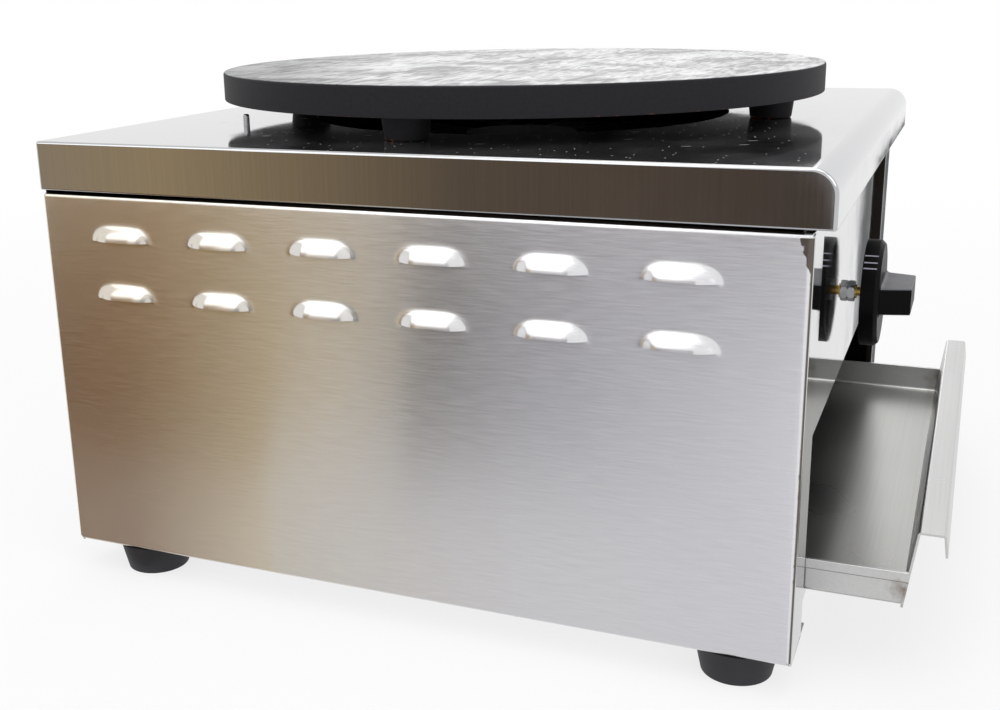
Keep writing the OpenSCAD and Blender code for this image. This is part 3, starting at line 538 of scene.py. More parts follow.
def satin_stainless(low, high):
    """Satin stainless sheet of the drawer: soft reflections, a darker floor, stains on the front welds, and a
    painted shadow line under the hems.
    """
    material, tree, coords = new_material("satin_stainless")
    # The rolling streaks are drawn 1.5 mm wide, coarser than they are, so that they show
    across = add(tree, "Mapping", {"Vector": coords, "Scale": per(130, 1.5, 1.5)})
    lines = add(tree, "TexNoise", {"Vector": across, "Scale": 1.0, "Detail": 3.0})
    cloud = add(tree, "TexNoise", {"Vector": coords, "Scale": per(90)[0], "Detail": 1.0})
    rough = add(tree, "MapRange", {"Value": cloud, 1: NOISE_LOW, 2: NOISE_HIGH, 3: 0.26, 4: 0.32})
    tone = add(tree, "MapRange", {"Value": lines, 1: NOISE_LOW, 2: NOISE_HIGH, 3: 0.93, 4: 1.0})
    up = add(tree, "SeparateXYZ", {"Vector": coords}, out="Z")
    on_floor = add(tree, "Math", {0: up, 1: low.z + 1.5 * SHEET}, operation="LESS_THAN")
    sheet = add(tree, "Mix", {0: on_floor, 6: colour("#C8C8C7"), 7: colour("#B2B2AF")}, **IN_COLOUR)
    steel = add(tree, "Mix", {0: 1.0, 6: sheet, 7: tone}, **IN_COLOUR, blend_type="MULTIPLY")
    # Heat stains fade within 24 mm of the two front corners
    mirrored = add(tree, "VectorMath", {0: coords}, operation="ABSOLUTE")
    corner = (high.x, -low.y, (low.z + high.z) / 2)
    away = add(tree, "VectorMath", {0: mirrored, 1: corner}, out="Value", operation="DISTANCE")
    patches = add(tree, "TexNoise", {"Vector": coords, "Scale": per(8)[0], "Detail": 5.0})
    reach = add(tree, "MapRange", {"Value": away, 1: 2 * MM, 2: 24 * MM, 3: 1.0, 4: 0.0})
    brown_patch = add(tree, "Math", {0: reach, 1: patches}, operation="MULTIPLY")
    marked = add(tree, "MapRange", {"Value": brown_patch, 1: 0.28, 2: 0.6, 3: 0.0, 4: 0.75})
    patched = add(tree, "Mix", {0: marked, 6: steel, 7: colour("#77685A")}, **IN_COLOUR)
    # A painted shadow draws a line along the lower edge of the hems
    across_x = add(tree, "SeparateXYZ", {"Vector": mirrored}, out="X")
    on_wall = add(tree, "Math", {0: across_x, 1: high.x - 1.6 * MM}, operation="GREATER_THAN")
    below_hem = add(tree, "Math", {0: up, 1: high.z - TRAY_HEM, 2: 0.5 * MM}, operation="COMPARE")
    under_hem_shade = add(tree, "Math", {0: on_wall, 1: below_hem}, operation="MULTIPLY")
    hem_shadow_paint = add(tree, "Math", {0: under_hem_shade, 1: 0.6}, operation="MULTIPLY")
    tint = add(tree, "Mix", {0: hem_shadow_paint, 6: patched, 7: colour("#5A554E")}, **IN_COLOUR)
    bumps = add(tree, "Bump", {"Height": lines, "Distance": 0.002 * MM, "Strength": 1.0})
    return close(material, add(tree, "BsdfPrincipled", {
        "Base Color": tint, "Metallic": 1.0, "Roughness": rough, "Normal": bumps}))


def seasoned_iron(low, high):
    """Machined cast iron with baked-on oil: dull dark rim, rust at its foot, and a burnished, streaky top."""
    material, tree, coords = new_material("seasoned_iron")
    height = add(tree, "SeparateXYZ", {"Vector": coords}, out="Z")
    on_top = add(tree, "Math", {0: height, 1: high.z - 0.3 * MM}, operation="GREATER_THAN")
    # Strokes of the spreader: smears 7 mm wide, drawn out along the plate, over larger blots
    smear = add(tree, "Mapping", {"Vector": coords, "Scale": per(30, 7, 30), "Rotation": (0, 0, -0.5)})
    strokes = add(tree, "TexNoise", {"Vector": smear, "Scale": 1.0, "Detail": 6.0, "Distortion": 1.5})
    blots = add(tree, "TexNoise", {"Vector": coords, "Scale": per(60)[0], "Detail": 5.0, "Distortion": 0.8})
    pale_pattern = add(tree, "Math", {0: strokes, 1: blots}, operation="MULTIPLY")
    wear = add(tree, "MapRange", {"Value": pale_pattern, 1: 0.16, 2: 0.34, 3: 0.0, 4: 1.0})
    top_tint = add(tree, "Mix", {0: wear, 6: colour("#5B5B5C"), 7: colour("#8F9091")}, **IN_COLOUR)
    fine = add(tree, "TexNoise", {"Vector": coords, "Scale": per(1.6)[0], "Detail": 4.0})
    rim_tint = add(tree, "Mix", {0: fine, 6: colour("#151417"), 7: colour("#232226")}, **IN_COLOUR)
    # Rust shows as small spots along the lower edge and at the posts' feet
    spots = add(tree, "TexNoise", {"Vector": coords, "Scale": per(5)[0], "Detail": 6.0})
    edge = add(tree, "MapRange", {"Value": height, 1: high.z - PLATE_T, 2: high.z - PLATE_T + 4 * MM, 3: 1.0,
                                  4: 0.0})
    toe = add(tree, "MapRange", {"Value": height, 1: low.z + 1 * MM, 2: low.z + 4 * MM, 3: 1.0, 4: 0.0})
    under = add(tree, "Math", {0: height, 1: high.z - PLATE_T + 0.25 * MM}, operation="GREATER_THAN")
    damp_edge = add(tree, "Math", {0: edge, 1: under}, operation="MULTIPLY")
    damp = add(tree, "Math", {0: damp_edge, 1: toe}, operation="MAXIMUM")
    rusty = add(tree, "Math", {0: spots, 1: damp}, operation="MULTIPLY")
    rust = add(tree, "MapRange", {"Value": rusty, 1: 0.55, 2: 0.66, 3: 0.0, 4: 0.8})
    rim = add(tree, "Mix", {0: rust, 6: rim_tint, 7: colour("#8A4A25")}, **IN_COLOUR)
    tint = add(tree, "Mix", {0: on_top, 6: rim, 7: top_tint}, **IN_COLOUR)
    top_rough = add(tree, "MapRange", {"Value": wear, 1: 0.0, 2: 1.0, 3: 0.48, 4: 0.3})
    rough = add(tree, "Mix", {0: on_top, 2: 0.62, 3: top_rough}, data_type="FLOAT")
    metal = add(tree, "Math", {0: on_top, 1: 0.75}, operation="MULTIPLY")
    bumps = add(tree, "Bump", {"Height": fine, "Distance": 0.05 * MM, "Strength": 0.6})
    return close(material, add(tree, "BsdfPrincipled", {
        "Base Color": tint, "Metallic": metal, "Roughness": rough, "Normal": bumps, "IOR": 1.5,
        "Specular IOR Level": 0.2}))


def moulded_plastic(axis, radius, disc_y):
    """Black phenolic moulding: half dull, with a faint orange peel.

    Its ribs, outside a radius, are painted pale as a painted highlight, and so are the grip's two sides, in
    front of the disc."""
    material, tree, coords = new_material("black_phenolic")
    peel = add(tree, "TexNoise", {"Vector": coords, "Scale": per(1.2)[0], "Detail": 2.0})
    rubbed = add(tree, "TexNoise", {"Vector": coords, "Scale": per(14)[0], "Detail": 4.0})
    rough = add(tree, "MapRange", {"Value": rubbed, 1: 0.35, 2: 0.7, 3: 0.35, 4: 0.45})
    black = add(tree, "Mix", {0: rubbed, 6: colour("#050506"), 7: colour("#0C0C0E")}, **IN_COLOUR)
    from_axis = add(tree, "VectorMath", {0: coords, 1: axis}, operation="SUBTRACT")
    around = add(tree, "VectorMath", {0: from_axis, 1: (1, 0, 1)}, operation="MULTIPLY")
    away = add(tree, "VectorMath", {0: around}, out="Value", operation="LENGTH")
    # Outside the disc's radius, the ribs are painted pale, as a painted highlight
    on_rib = add(tree, "Math", {0: away, 1: radius + 0.12 * MM}, operation="GREATER_THAN")
    # The grip's two sides, in front of the disc, are painted pale too, as a painted highlight
    mirrored = add(tree, "VectorMath", {0: from_axis}, operation="ABSOLUTE")
    beside = add(tree, "SeparateXYZ", {"Vector": mirrored}, out="Z")
    ahead = add(tree, "SeparateXYZ", {"Vector": coords}, out="Y")
    on_side = add(tree, "Math", {0: beside, 1: GRIP_T / 2 - 0.7 * MM}, operation="GREATER_THAN")
    in_front = add(tree, "Math", {0: ahead, 1: disc_y - 0.5 * MM}, operation="LESS_THAN")
    grip_highlight = add(tree, "Math", {0: on_side, 1: in_front}, operation="MULTIPLY")
    pale_pattern = add(tree, "Mix", {0: grip_highlight, 6: black, 7: colour("#747579")}, **IN_COLOUR)
    tint = add(tree, "Mix", {0: on_rib, 6: pale_pattern, 7: colour("#A9A6B4")}, **IN_COLOUR)
    bumps = add(tree, "Bump", {"Height": peel, "Distance": 0.02 * MM, "Strength": 0.4})
    return close(material, add(tree, "BsdfPrincipled", {
        "Base Color": tint, "Roughness": rough, "Normal": bumps, "IOR": 1.55, "Specular IOR Level": 0.06}))


def foot_rubber():
    """Moulded black rubber: dull, finely pitted, greyed by dust."""
    material, tree, coords = new_material("foot_rubber")
    pits = add(tree, "TexNoise", {"Vector": coords, "Scale": per(0.9)[0], "Detail": 3.0})
    dust = add(tree, "TexNoise", {"Vector": coords, "Scale": per(12)[0], "Detail": 5.0})
    tint = add(tree, "Mix", {0: dust, 6: colour("#121217"), 7: colour("#26262C")}, **IN_COLOUR)
    bumps = add(tree, "Bump", {"Height": pits, "Distance": 0.05 * MM, "Strength": 0.5})
    return close(material, add(tree, "BsdfPrincipled", {
        "Base Color": tint, "Roughness": 0.62, "Normal": bumps, "IOR": 1.5}))


def plain_metal(name, dark, light, rough_low, rough_high, spot):
    """Metal of the small fittings: its tone and gloss vary in spots of one size, in millimetres."""
    material, tree, coords = new_material(name)
    patches = add(tree, "TexNoise", {"Vector": coords, "Scale": per(spot)[0], "Detail": 5.0})
    tint = add(tree, "Mix", {0: patches, 6: colour(dark), 7: colour(light)}, **IN_COLOUR)
    rough = add(tree, "MapRange", {
        "Value": patches, 1: NOISE_LOW, 2: NOISE_HIGH, 3: rough_low, 4: rough_high})
    bumps = add(tree, "Bump", {"Height": patches, "Distance": 0.01 * MM, "Strength": 1.0})
    return close(material, add(tree, "BsdfPrincipled", {
        "Base Color": tint, "Metallic": 1.0, "Roughness": rough, "Normal": bumps}))


def grainy_solid(name, dark, light, roughness, grain, detail, depth, strength):
    """Dull material, flecked and pitted by one grain. Grain and depth are in millimetres."""
    material, tree, coords = new_material(name)
    flecks = add(tree, "TexNoise", {"Vector": coords, "Scale": per(grain)[0], "Detail": detail})
    tint = add(tree, "Mix", {0: flecks, 6: colour(dark), 7: colour(light)}, **IN_COLOUR)
    bumps = add(tree, "Bump", {"Height": flecks, "Distance": depth * MM, "Strength": strength})
    return close(material, add(tree, "BsdfPrincipled", {
        "Base Color": tint, "Roughness": roughness, "Normal": bumps}))


# Pieces

def folded(name, points):
    """Surface across the object that follows a side view's points, given as (y, z), between two x."""
    (x_low, x_high), *route = points
    deselect()
    bpy.ops.mesh.primitive_plane_add(size=1)
    piece = named(name)
    shape(piece)
    for vert in bmesh.from_edit_mesh(piece.data).verts:
        y, z = route[0] if vert.co.y < 0 else route[1]
        vert.co = Vector((x_low if vert.co.x < 0 else x_high, y, z))
    bmesh.update_edit_mesh(piece.data)
    for last, point in zip(route[1:], route[2:]):
        pick("EDGE", lambda e: all((v.co.yz - Vector(last)).length < TINY for v in e.verts))
        extrude((0, point[0] - last[0], point[1] - last[1]))
    return piece


def top_cover():
    """Deck and skirt, folded from one sheet: broad bend at the front, tight bends elsewhere."""
    cover = block("cover_sheet", cover_low, cover_high)
    shape(cover)
    pick("FACE", lambda f: f.normal.z < -FACING)
    bpy.ops.mesh.delete(type="FACE")
    pick("EDGE", lambda e: middle(e).y < cover_low.y + TINY and middle(e).z > cover_high.z - TINY)
    bevel(COVER_FRONT_BEND, 14)
    pick("EDGE", is_fold)
    bevel(COVER_EDGE_BEND, 5)
    thicken(cover)
    under = Vector((0, plate_mid.y, cover_high.z - CUT_SPARE))
    over = Vector((0, plate_mid.y, cover_high.z + CUT_SPARE))
    cut(cover, rod("flame_hole", under, over, FLAME_HOLE_R, sides=128))
    shape(cover)
    pick("EDGE", lambda e: middle(e).z < cover_low.z + TINY and any(
        abs(face.normal.z) < 1 - FACING and face.normal.xy.dot(middle(e).xy) > 0 for face in e.link_faces))
    bevel(SKIRT_EASE, 4)
    smooth(cover)
    return cover


def louvre_middles():
    """Middle of each louvre's open edge, as (y, z)."""
    first = LOUVRE_Y - (LOUVRE_COLS - 1) / 2 * LOUVRE_PITCH
    return [(first + col * LOUVRE_PITCH, LOUVRE_Z - row * LOUVRE_ROW_PITCH)
            for col in range(LOUVRE_COLS) for row in range(LOUVRE_ROWS)]


def hood_height(along, up):
    """How far a louvre stands out of the panel, at a place beside and above the middle of its open edge."""
    past_straight = abs(along) - (LOUVRE_HALF - LOUVRE_END)
    past = (past_straight + math.hypot(past_straight, LOUVRE_EASE)) / 2 * LOUVRE_H / LOUVRE_END
    away = math.hypot(past, up) / LOUVRE_H
    slope = LOUVRE_OUT * (1 - away ** LOUVRE_CROWN)
    soft = (slope + math.hypot(slope, LOUVRE_FILLET)) / 2
    rest = LOUVRE_FILLET ** 2 / (4 * LOUVRE_MARGIN)
    return max(0, soft - rest)


def panel_blank(x):
    """Flat sheet of a side panel, with a fine grid wherever a louvre will be pressed."""
    turn = (0, math.radians(-90), 0)
    spot = (x, (side_low.y + side_high.y) / 2, (side_low.z + panel_top) / 2)
    deselect()
    bpy.ops.mesh.primitive_plane_add(size=1, location=spot, rotation=turn)
    panel = named("left_panel_sheet", (panel_top - side_low.z, side_high.y - side_low.y, 1))
    shape(panel)
    bpy.ops.mesh.select_all(action="SELECT")
    bpy.ops.mesh.inset(thickness=BLANK_BORDER)
    bpy.ops.mesh.delete(type="FACE")
    patches = []
    for y, z in louvre_middles():
        deselect()
        bpy.ops.mesh.primitive_grid_add(
            x_subdivisions=round(PATCH_H / LOUVRE_CELL), y_subdivisions=round(PATCH_L / LOUVRE_CELL), size=1,
            location=(x, y, z - LOUVRE_MARGIN + PATCH_H / 2), rotation=turn)
        patches.append(named("louvre_patch", (PATCH_H, PATCH_L, 1)))
    join(panel, *patches)
    shape(panel)
    edge_y = (side_low.y + BLANK_BORDER / 2, side_high.y - BLANK_BORDER / 2)
    edge_z = (side_low.z + BLANK_BORDER / 2, panel_top - BLANK_BORDER / 2)
    pick("EDGE", lambda e: e.is_boundary and edge_y[0] < middle(e).y < edge_y[1]
         and edge_z[0] < middle(e).z < edge_z[1])
    bpy.ops.mesh.fill(use_beauty=True)
    bpy.ops.mesh.select_all(action="SELECT")
    bpy.ops.mesh.remove_doubles(threshold=TINY)
    bpy.ops.mesh.normals_make_consistent(inside=False)
    mesh = bmesh.from_edit_mesh(panel.data)
    if sum(face.normal.x for face in mesh.faces) > 0:
        bpy.ops.mesh.flip_normals()
    return panel


def side_panel():
    """Left side panel: pressed louvres with open slits, and folds on its four edges."""
    x = -x_side
    panel = panel_blank(x)
    spots = louvre_middles()

    def from_lip(place):
        """Distance beside and above the middle of the nearest louvre's open edge."""
        y, z = min(spots, key=lambda s: (place.y - s[0]) ** 2 + (place.z - s[1]) ** 2)
        return place.y - y, place.z - z

    # The sheet is slit along each open edge, and the sheet above it is pressed out
    pick("EDGE", lambda e: all(abs(from_lip(v.co)[1]) < TINY for v in e.verts)
         and abs(from_lip(middle(e))[0]) < LOUVRE_HALF)
    bpy.ops.mesh.edge_split(type="EDGE")
    mesh = bmesh.from_edit_mesh(panel.data)
    for vert in mesh.verts:
        beside, above = from_lip(vert.co)
        reaches_up = any(from_lip(face.calc_center_median())[1] > 0 for face in vert.link_faces)
        if reaches_up and -TINY < above < PATCH_H:
            vert.co.x = x - hood_height(beside, above)
    bmesh.update_edit_mesh(panel.data)

    strip = x_side - tray_high.x - STRIP_GAP
    turn_in = front_low.y - side_low.y
    folds = [(lambda c: c.y < side_low.y + TINY, strip), (lambda c: c.y > side_high.y - TINY, PANEL_FOLD),
             (lambda c: c.z > panel_top - TINY, PANEL_FOLD), (lambda c: c.z < side_low.z + TINY, FOOT_FOLD)]
    for on_side, width in folds:
        pick("EDGE", lambda e: on_side(middle(e)) and abs(middle(e).x - x) < TINY)
        extrude((width, 0, 0))
    pick("EDGE", lambda e: middle(e).y < side_low.y + TINY and middle(e).x > x + strip - TINY)
    extrude((0, turn_in, 0))
    # The upper and lower folds are cut back at the rear, and the upper one stands up along its inner edge
    for vert in bmesh.from_edit_mesh(panel.data).verts:
        level = all(abs(v.co.z - vert.co.z) < TINY for face in vert.link_faces for v in face.verts)
        if level and vert.co.y > side_high.y - TINY:
            vert.co.y -= FOLD_MITRE
    bmesh.update_edit_mesh(panel.data)
    pick("EDGE", lambda e: middle(e).z > panel_top - TINY and abs(middle(e).x - x - PANEL_FOLD) < TINY)
    extrude((0, 0, side_high.z - panel_top))
    pick("EDGE", lambda e: is_fold(e) and not side_low.z + TINY < middle(e).z < panel_top - TINY)
    bevel(EDGE_BEND, 6)
    for on_side, bend in ((folds[0][0], PANEL_BEND), (folds[1][0], REAR_BEND)):
        pick("EDGE", lambda e: is_fold(e) and abs(middle(e).x - x) < TINY and on_side(middle(e)))
        bevel(bend, 5)
    pick("EDGE", lambda e: is_fold(e) and middle(e).x > x + strip - TINY)
    bevel(STRIP_BEND, 3)
    thicken(panel)
    return panel


def control_panel():
    """Panel above the drawer, folded back along its upper and lower edges."""
    y = front_low.y
    panel = folded("control_panel_sheet", [
        (front_low.x, front_high.x), (y + PANEL_FOLD, front_low.z), (y, front_low.z), (y, front_high.z),
        (y + PANEL_FOLD, front_high.z)])
    pick("EDGE", is_fold)
    bevel(CONTROL_BEND, 4)
    thicken(panel)
    hole = Vector((valve_axis.x, y - CUT_SPARE, valve_axis.z))
    cut(panel, rod("neck_hole", hole, hole + Vector((0, 2 * CUT_SPARE, 0)), NECK_HOLE_R))
    smooth(panel)
    return panel


def lean(z):
    """How far the raised front has leaned out at a height."""
    return DRAWER_LEAN * (z - tray_low.z) / (pull_high.z - tray_low.z)


def drawer_tray():
    """Tray folded up at the sides and the back, with hems rolled over the side walls."""
    z_floor = tray_low.z + SHEET
    half = tray_high.x - 2 * SHEET
    y_back = tray_high.y - SHEET
    deselect()
    bpy.ops.mesh.primitive_plane_add(size=1, location=(0, (pull_high.y + y_back) / 2, z_floor))
    tray = named("tray_sheet", (2 * half, y_back - pull_high.y, 1))
    shape(tray)
    pick("EDGE", lambda e: middle(e).y > pull_high.y + TINY)
    extrude((0, 0, tray_high.z - z_floor))
    bpy.ops.mesh.select_all(action="SELECT")
    bpy.ops.mesh.remove_doubles(threshold=TINY)
    for side in (-1, 1):
        pick("EDGE", lambda e: middle(e).x * side > half - TINY and middle(e).z > tray_high.z - TINY)
        extrude((side * 2 * SHEET, 0, 0))
        extrude((0, 0, -TRAY_HEM))
    pick("EDGE", lambda e: is_fold(e) and middle(e).z < tray_high.z - TINY)
    bevel(TRAY_BEND, 4)
    pick("EDGE", lambda e: is_fold(e) and middle(e).z > tray_high.z - TINY)
    bevel(HEM_ROLL, 3)
    for vert in bmesh.from_edit_mesh(tray.data).verts:
        if vert.co.y < pull_high.y + TINY:
            vert.co.y -= lean(vert.co.z)
    bmesh.update_edit_mesh(tray.data)
    thicken(tray, HEM_SHEET)
    smooth(tray)
    return tray


def drawer_pull():
    """Raised front of the drawer, folded forward and down into a handle."""
    top = pull_high.z
    back = pull_high.y - DRAWER_LEAN
    pull = folded("pull_sheet", [
        (pull_low.x, pull_high.x), (pull_low.y, top - HANDLE_LIP), (back - HANDLE_W, top), (back, top),
        (pull_high.y, pull_low.z)])
    pick("EDGE", is_fold)
    bevel(HANDLE_BEND, 5)
    thicken(pull)
    smooth(pull)
    return pull


def griddle():
    """Cast plate with eased edges on four tapered posts that swell into it."""
    middle_y = plate_mid.y
    z_face = plate_high.z - PLATE_T
    radius = plate_high.x
    plate = rod("cast_plate", (0, middle_y, z_face), (0, middle_y, plate_high.z), radius, sides=160)
    shape(plate)
    pick("EDGE", lambda e: is_fold(e) and middle(e).z > z_face + TINY)
    bevel(PLATE_EASE, 3)
    pick("EDGE", lambda e: is_fold(e) and middle(e).z < z_face + TINY)
    bevel(PLATE_FOOT_EASE, 2)
    for k in range(4):
        turn = k * math.pi / 2 - PLATE_TURN
        spot = Vector((POST_RING_R * math.cos(turn), middle_y + POST_RING_R * math.sin(turn), 0))
        foot = spot + Vector((0, 0, plate_low.z))
        root = spot + Vector((0, 0, z_face))
        post = rod("post", foot, root, POST_BASE_R, POST_TOP_R, sides=48)
        shape(post)
        pick("FACE", lambda f: f.normal.z > FACING)
        for step in range(1, FLARE_STEPS + 1):
            extrude((0, 0, POST_FILLET / FLARE_STEPS))
            flare = 1 + POST_FILLET * (step / FLARE_STEPS) ** 2 / POST_TOP_R / 2
            bpy.ops.transform.resize(value=(flare, flare, 1), center_override=root)
        pick("EDGE", lambda e: is_fold(e) and middle(e).z < plate_low.z + TINY)
        bevel(POST_EASE, 2)
        unite(plate, post)
    smooth(plate)
    return plate


def knob():
    """Control knob: chamfered disc, hollow behind, with a tapered grip that swells into it."""
    x, z = valve_axis.x, valve_axis.z
    y_back, y_end = knob_high.y, knob_low.y
    y_disc = y_back - KNOB_DISC_T
    radius = knob_high.x - x
    disc = rod("knob_moulding", (x, y_back, z), (x, y_disc, z), radius, sides=128)
    shape(disc)
    pick("EDGE", lambda e: is_fold(e) and middle(e).y < y_disc + TINY)
    bevel(KNOB_CHAMFER, 1)
    pick("EDGE", lambda e: is_fold(e, 30))
    bevel(KNOB_EASE, 2)

    # Grip: its first steps draw in as a hollow curve, and the rest tapers
    grip = block("grip", Vector((x - GRIP_BASE, y_disc, z - GRIP_T / 2 - GRIP_FILLET)),
                 Vector((x + GRIP_BASE, y_disc + OVERLAP, z + GRIP_T / 2 + GRIP_FILLET)))
    shape(grip)
    pick("FACE", lambda f: f.normal.y < -FACING)
    turns = [math.radians(90 * step / GRIP_STEPS) for step in range(1, GRIP_STEPS + 1)]
    depths = [GRIP_FILLET * (1 - math.cos(turn)) for turn in turns]
    depths.append(y_disc - y_end)
    half_l, half_t, depth = GRIP_BASE, GRIP_T / 2 + GRIP_FILLET, 0
    for reach in depths:
        taper = GRIP_BASE - (GRIP_BASE - GRIP_END) * reach / (y_disc - y_end)
        short = max(0, GRIP_FILLET - reach)
        thick = GRIP_T / 2 + GRIP_FILLET - math.sqrt(GRIP_FILLET ** 2 - short ** 2)
        extrude((0, depth - reach, 0))
        bpy.ops.transform.resize(value=(taper / half_l, 1, thick / half_t), center_override=(x, y_disc, z))
        half_l, half_t, depth = taper, thick, reach
    pick("EDGE", lambda e: is_fold(e) and abs(e.verts[0].co.y - e.verts[1].co.y) > TINY)
    bevel(GRIP_ROUND, 4)
    pick("EDGE", lambda e: is_fold(e) and middle(e).y < y_end + TINY)
    bevel(GRIP_EASE, 3)
    unite(disc, grip)

    # Ribs across the rim, which mark the knob's setting by touch
    rib = block("rib", Vector((x - RIB_HALF, y_disc + KNOB_CHAMFER, z + radius - OVERLAP)),
                Vector((x + RIB_HALF, y_back - RIB_END, z + radius + RIB_H)))
    for angle in KNOB_RIBS:
        around = Matrix.Translation((x, 0, z)) @ Matrix.Rotation(math.radians(angle), 4, "Y")
        unite(disc, copy_moved(rib, "rib_copy", around @ Matrix.Translation((-x, 0, -z))))
    bpy.data.objects.remove(rib)
    hollow = rod("hollow", (x, y_disc + KNOB_WEB, z), (x, y_back + CUT_SPARE, z), radius - KNOB_WALL)
    cut(hollow, rod("boss", (x, y_disc, z), (x, y_back - BOSS_RECESS, z), BOSS_R))
    cut(disc, hollow)
    smooth(disc)
    return disc


def foot_pad():
    """Tapered rubber foot with rounded edges and a recess for its screw."""
    spot = (foot_low + foot_high) / 2
    base = Vector((spot.x, spot.y, foot_low.z))
    top = Vector((spot.x, spot.y, foot_high.z))
    foot = rod("front_left_pad", base, top, FOOT_BASE_R, (foot_high.x - foot_low.x) / 2, sides=72)
    shape(foot)
    pick("EDGE", is_fold)
    bevel(FOOT_EASE, 2)
    recess = Vector((0, 0, FOOT_RECESS))
    cut(foot, rod("recess", base - recess, base + recess, FOOT_BORE_R, sides=48))
    cut(foot, rod("screw_hole", base, top + recess, FOOT_HOLE_R, sides=32))
    smooth(foot)
    return foot


def hexagon(name, start, end, flats):
    """Hexagon with the corners of both ends turned off."""
    corner = flats / 2 / math.cos(math.radians(30))
    nut = rod(name, start, end, corner, sides=6)
    turned = rod("turned", start, end, corner * 1.002, sides=72)
    shape(turned)
    pick("EDGE", is_fold)
    bevel(corner * NUT_CHAMFER, 1)
    apply_modifier(nut, "BOOLEAN", object=turned, operation="INTERSECT", solver="EXACT")
    bpy.data.objects.remove(turned)
    return nut


def neck_nut():
    """Hexagon nut that holds the valve's neck in the control panel."""
    axis = Vector((valve_axis.x, 0, valve_axis.z))
    front, back = axis + Vector((0, nut_low.y, 0)), axis + Vector((0, nut_high.y, 0))
    nut = hexagon("panel_hexagon", front, back, nut_high.z - nut_low.z)
    spare = Vector((0, CUT_SPARE, 0))
    cut(nut, rod("neck_bore", front - spare, back + spare, NECK_BORE_R))
    smooth(nut, 25)
    return nut


def pipe_thread(name, start, length, radius):
    """Round along +Y with a pipe thread rolled on it, from a grid that is wrapped and closed."""
    turns = length / THREAD_PITCH
    rings = round(turns * THREAD_RINGS)
    deselect()
    bpy.ops.mesh.primitive_grid_add(x_subdivisions=64, y_subdivisions=rings, size=1)
    thread = named(name)
    shape(thread)
    for vert in bmesh.from_edit_mesh(thread.data).verts:
        turn, along = vert.co.x + 0.5, vert.co.y + 0.5
        wave = abs((along * turns - turn) % 1 * 2 - 1)
        if along >= RUN_OUT_FROM:
            wave = max(wave, 1 - (1 - along) * turns / RUN_OUT_TURNS)
        deep = radius - THREAD_DEPTH * wave
        angle = 2 * math.pi * turn
        vert.co = start + Vector((deep * math.cos(angle), along * length, deep * math.sin(angle)))
    bmesh.update_edit_mesh(thread.data)
    bpy.ops.mesh.select_all(action="SELECT")
    bpy.ops.mesh.remove_doubles(threshold=TINY)
    for end_y in (start.y, start.y + length):
        pick("EDGE", lambda e: e.is_boundary and abs(middle(e).y - end_y) < TINY)
        bpy.ops.mesh.edge_face_add()
    bpy.ops.mesh.select_all(action="SELECT")
    bpy.ops.mesh.normals_make_consistent(inside=False)
    return thread


def inlet():
    """Bulkhead nipple of the gas inlet: plain shank, hexagon and a long pipe thread."""
    axis = (nipple_low + nipple_high) / 2
    axis.y = 0

    def at(y):
        return axis + Vector((0, y, 0))

    y_hex = back_high.y + SEAL_T
    nipple = hexagon("inlet_fitting", at(y_hex), at(y_hex + INLET_HEX_T), nipple_high.z - nipple_low.z)
    unite(nipple, rod("shank", at(nipple_low.y), at(y_hex + OVERLAP), INLET_R - THREAD_STEP, sides=64))
    y_thread = y_hex + INLET_HEX_T - OVERLAP
    unite(nipple, pipe_thread("thread", at(y_thread), nipple_high.y - y_thread, INLET_R))
    ends = at(nipple_low.y - CUT_SPARE), at(nipple_high.y + CUT_SPARE)
    cut(nipple, rod("gas_way", *ends, GAS_WAY_R, sides=48))
    smooth(nipple, 25)
    return nipple


def pan_screw(name, seat):
    """Pan-head screw with a cross recess, seated on a face that looks along +Y."""
    out = Vector((0, 1, 0))
    face = seat + out * SCREW_HEAD_H
    screw = rod(name, seat, face, SCREW_HEAD_R, SCREW_HEAD_R * SCREW_TAPER, sides=48)
    shape(screw)
    pick("EDGE", lambda e: is_fold(e) and middle(e).y > seat.y + SCREW_HEAD_H - TINY)
    bevel(SCREW_CROWN, 5)
    unite(screw, rod("shank", seat - out * SCREW_L, seat + out * SCREW_ROOT, SCREW_R, sides=32))
    wing = Vector((CROSS_L / 2, CROSS_DEPTH, CROSS_W / 2))
    across = block("recess", face - wing, face + wing)
    upright = Matrix.Translation(face) @ Matrix.Rotation(math.pi / 2, 4, "Y") @ Matrix.Translation(-face)
    cut(screw, copy_moved(across, "recess_upright", upright), across)
    smooth(screw)
    return screw


def screw_set(name, seats):
    """Like screws as one piece."""
    first = pan_screw(name, seats[0])
    others = [copy_moved(first, name, Matrix.Translation(seat - seats[0])) for seat in seats[1:]]
    return join(first, *others)


def coil_spring():
    """Return spring of the gas valve: one wire wound in open turns about the spindle."""
    end = SPRING_WIRE_R + SPRING_END_GAP
    reach = (spring_high.x - spring_low.x) / 2 - SPRING_WIRE_R
    wound = spring_high.y - spring_low.y - 2 * end
    deselect()
    bpy.ops.mesh.primitive_circle_add(
        vertices=SPRING_WIRE_SIDES, radius=SPRING_WIRE_R, location=(reach, 0, 0))
    spring = named("spring_coil")
    apply_modifier(spring, "SCREW", axis="Y", screw_offset=wound / SPRING_TURNS, iterations=SPRING_TURNS,
                   steps=SPRING_STEPS, render_steps=SPRING_STEPS)
    shape(spring)
    bpy.ops.mesh.select_all(action="SELECT")
    bpy.ops.mesh.fill_holes(sides=0)
    bpy.ops.mesh.normals_make_consistent(inside=False)
    start = (spring_low + spring_high) / 2
    start.y = spring_low.y + end
    bpy.ops.transform.translate(value=start)
    smooth(spring)
    return spring


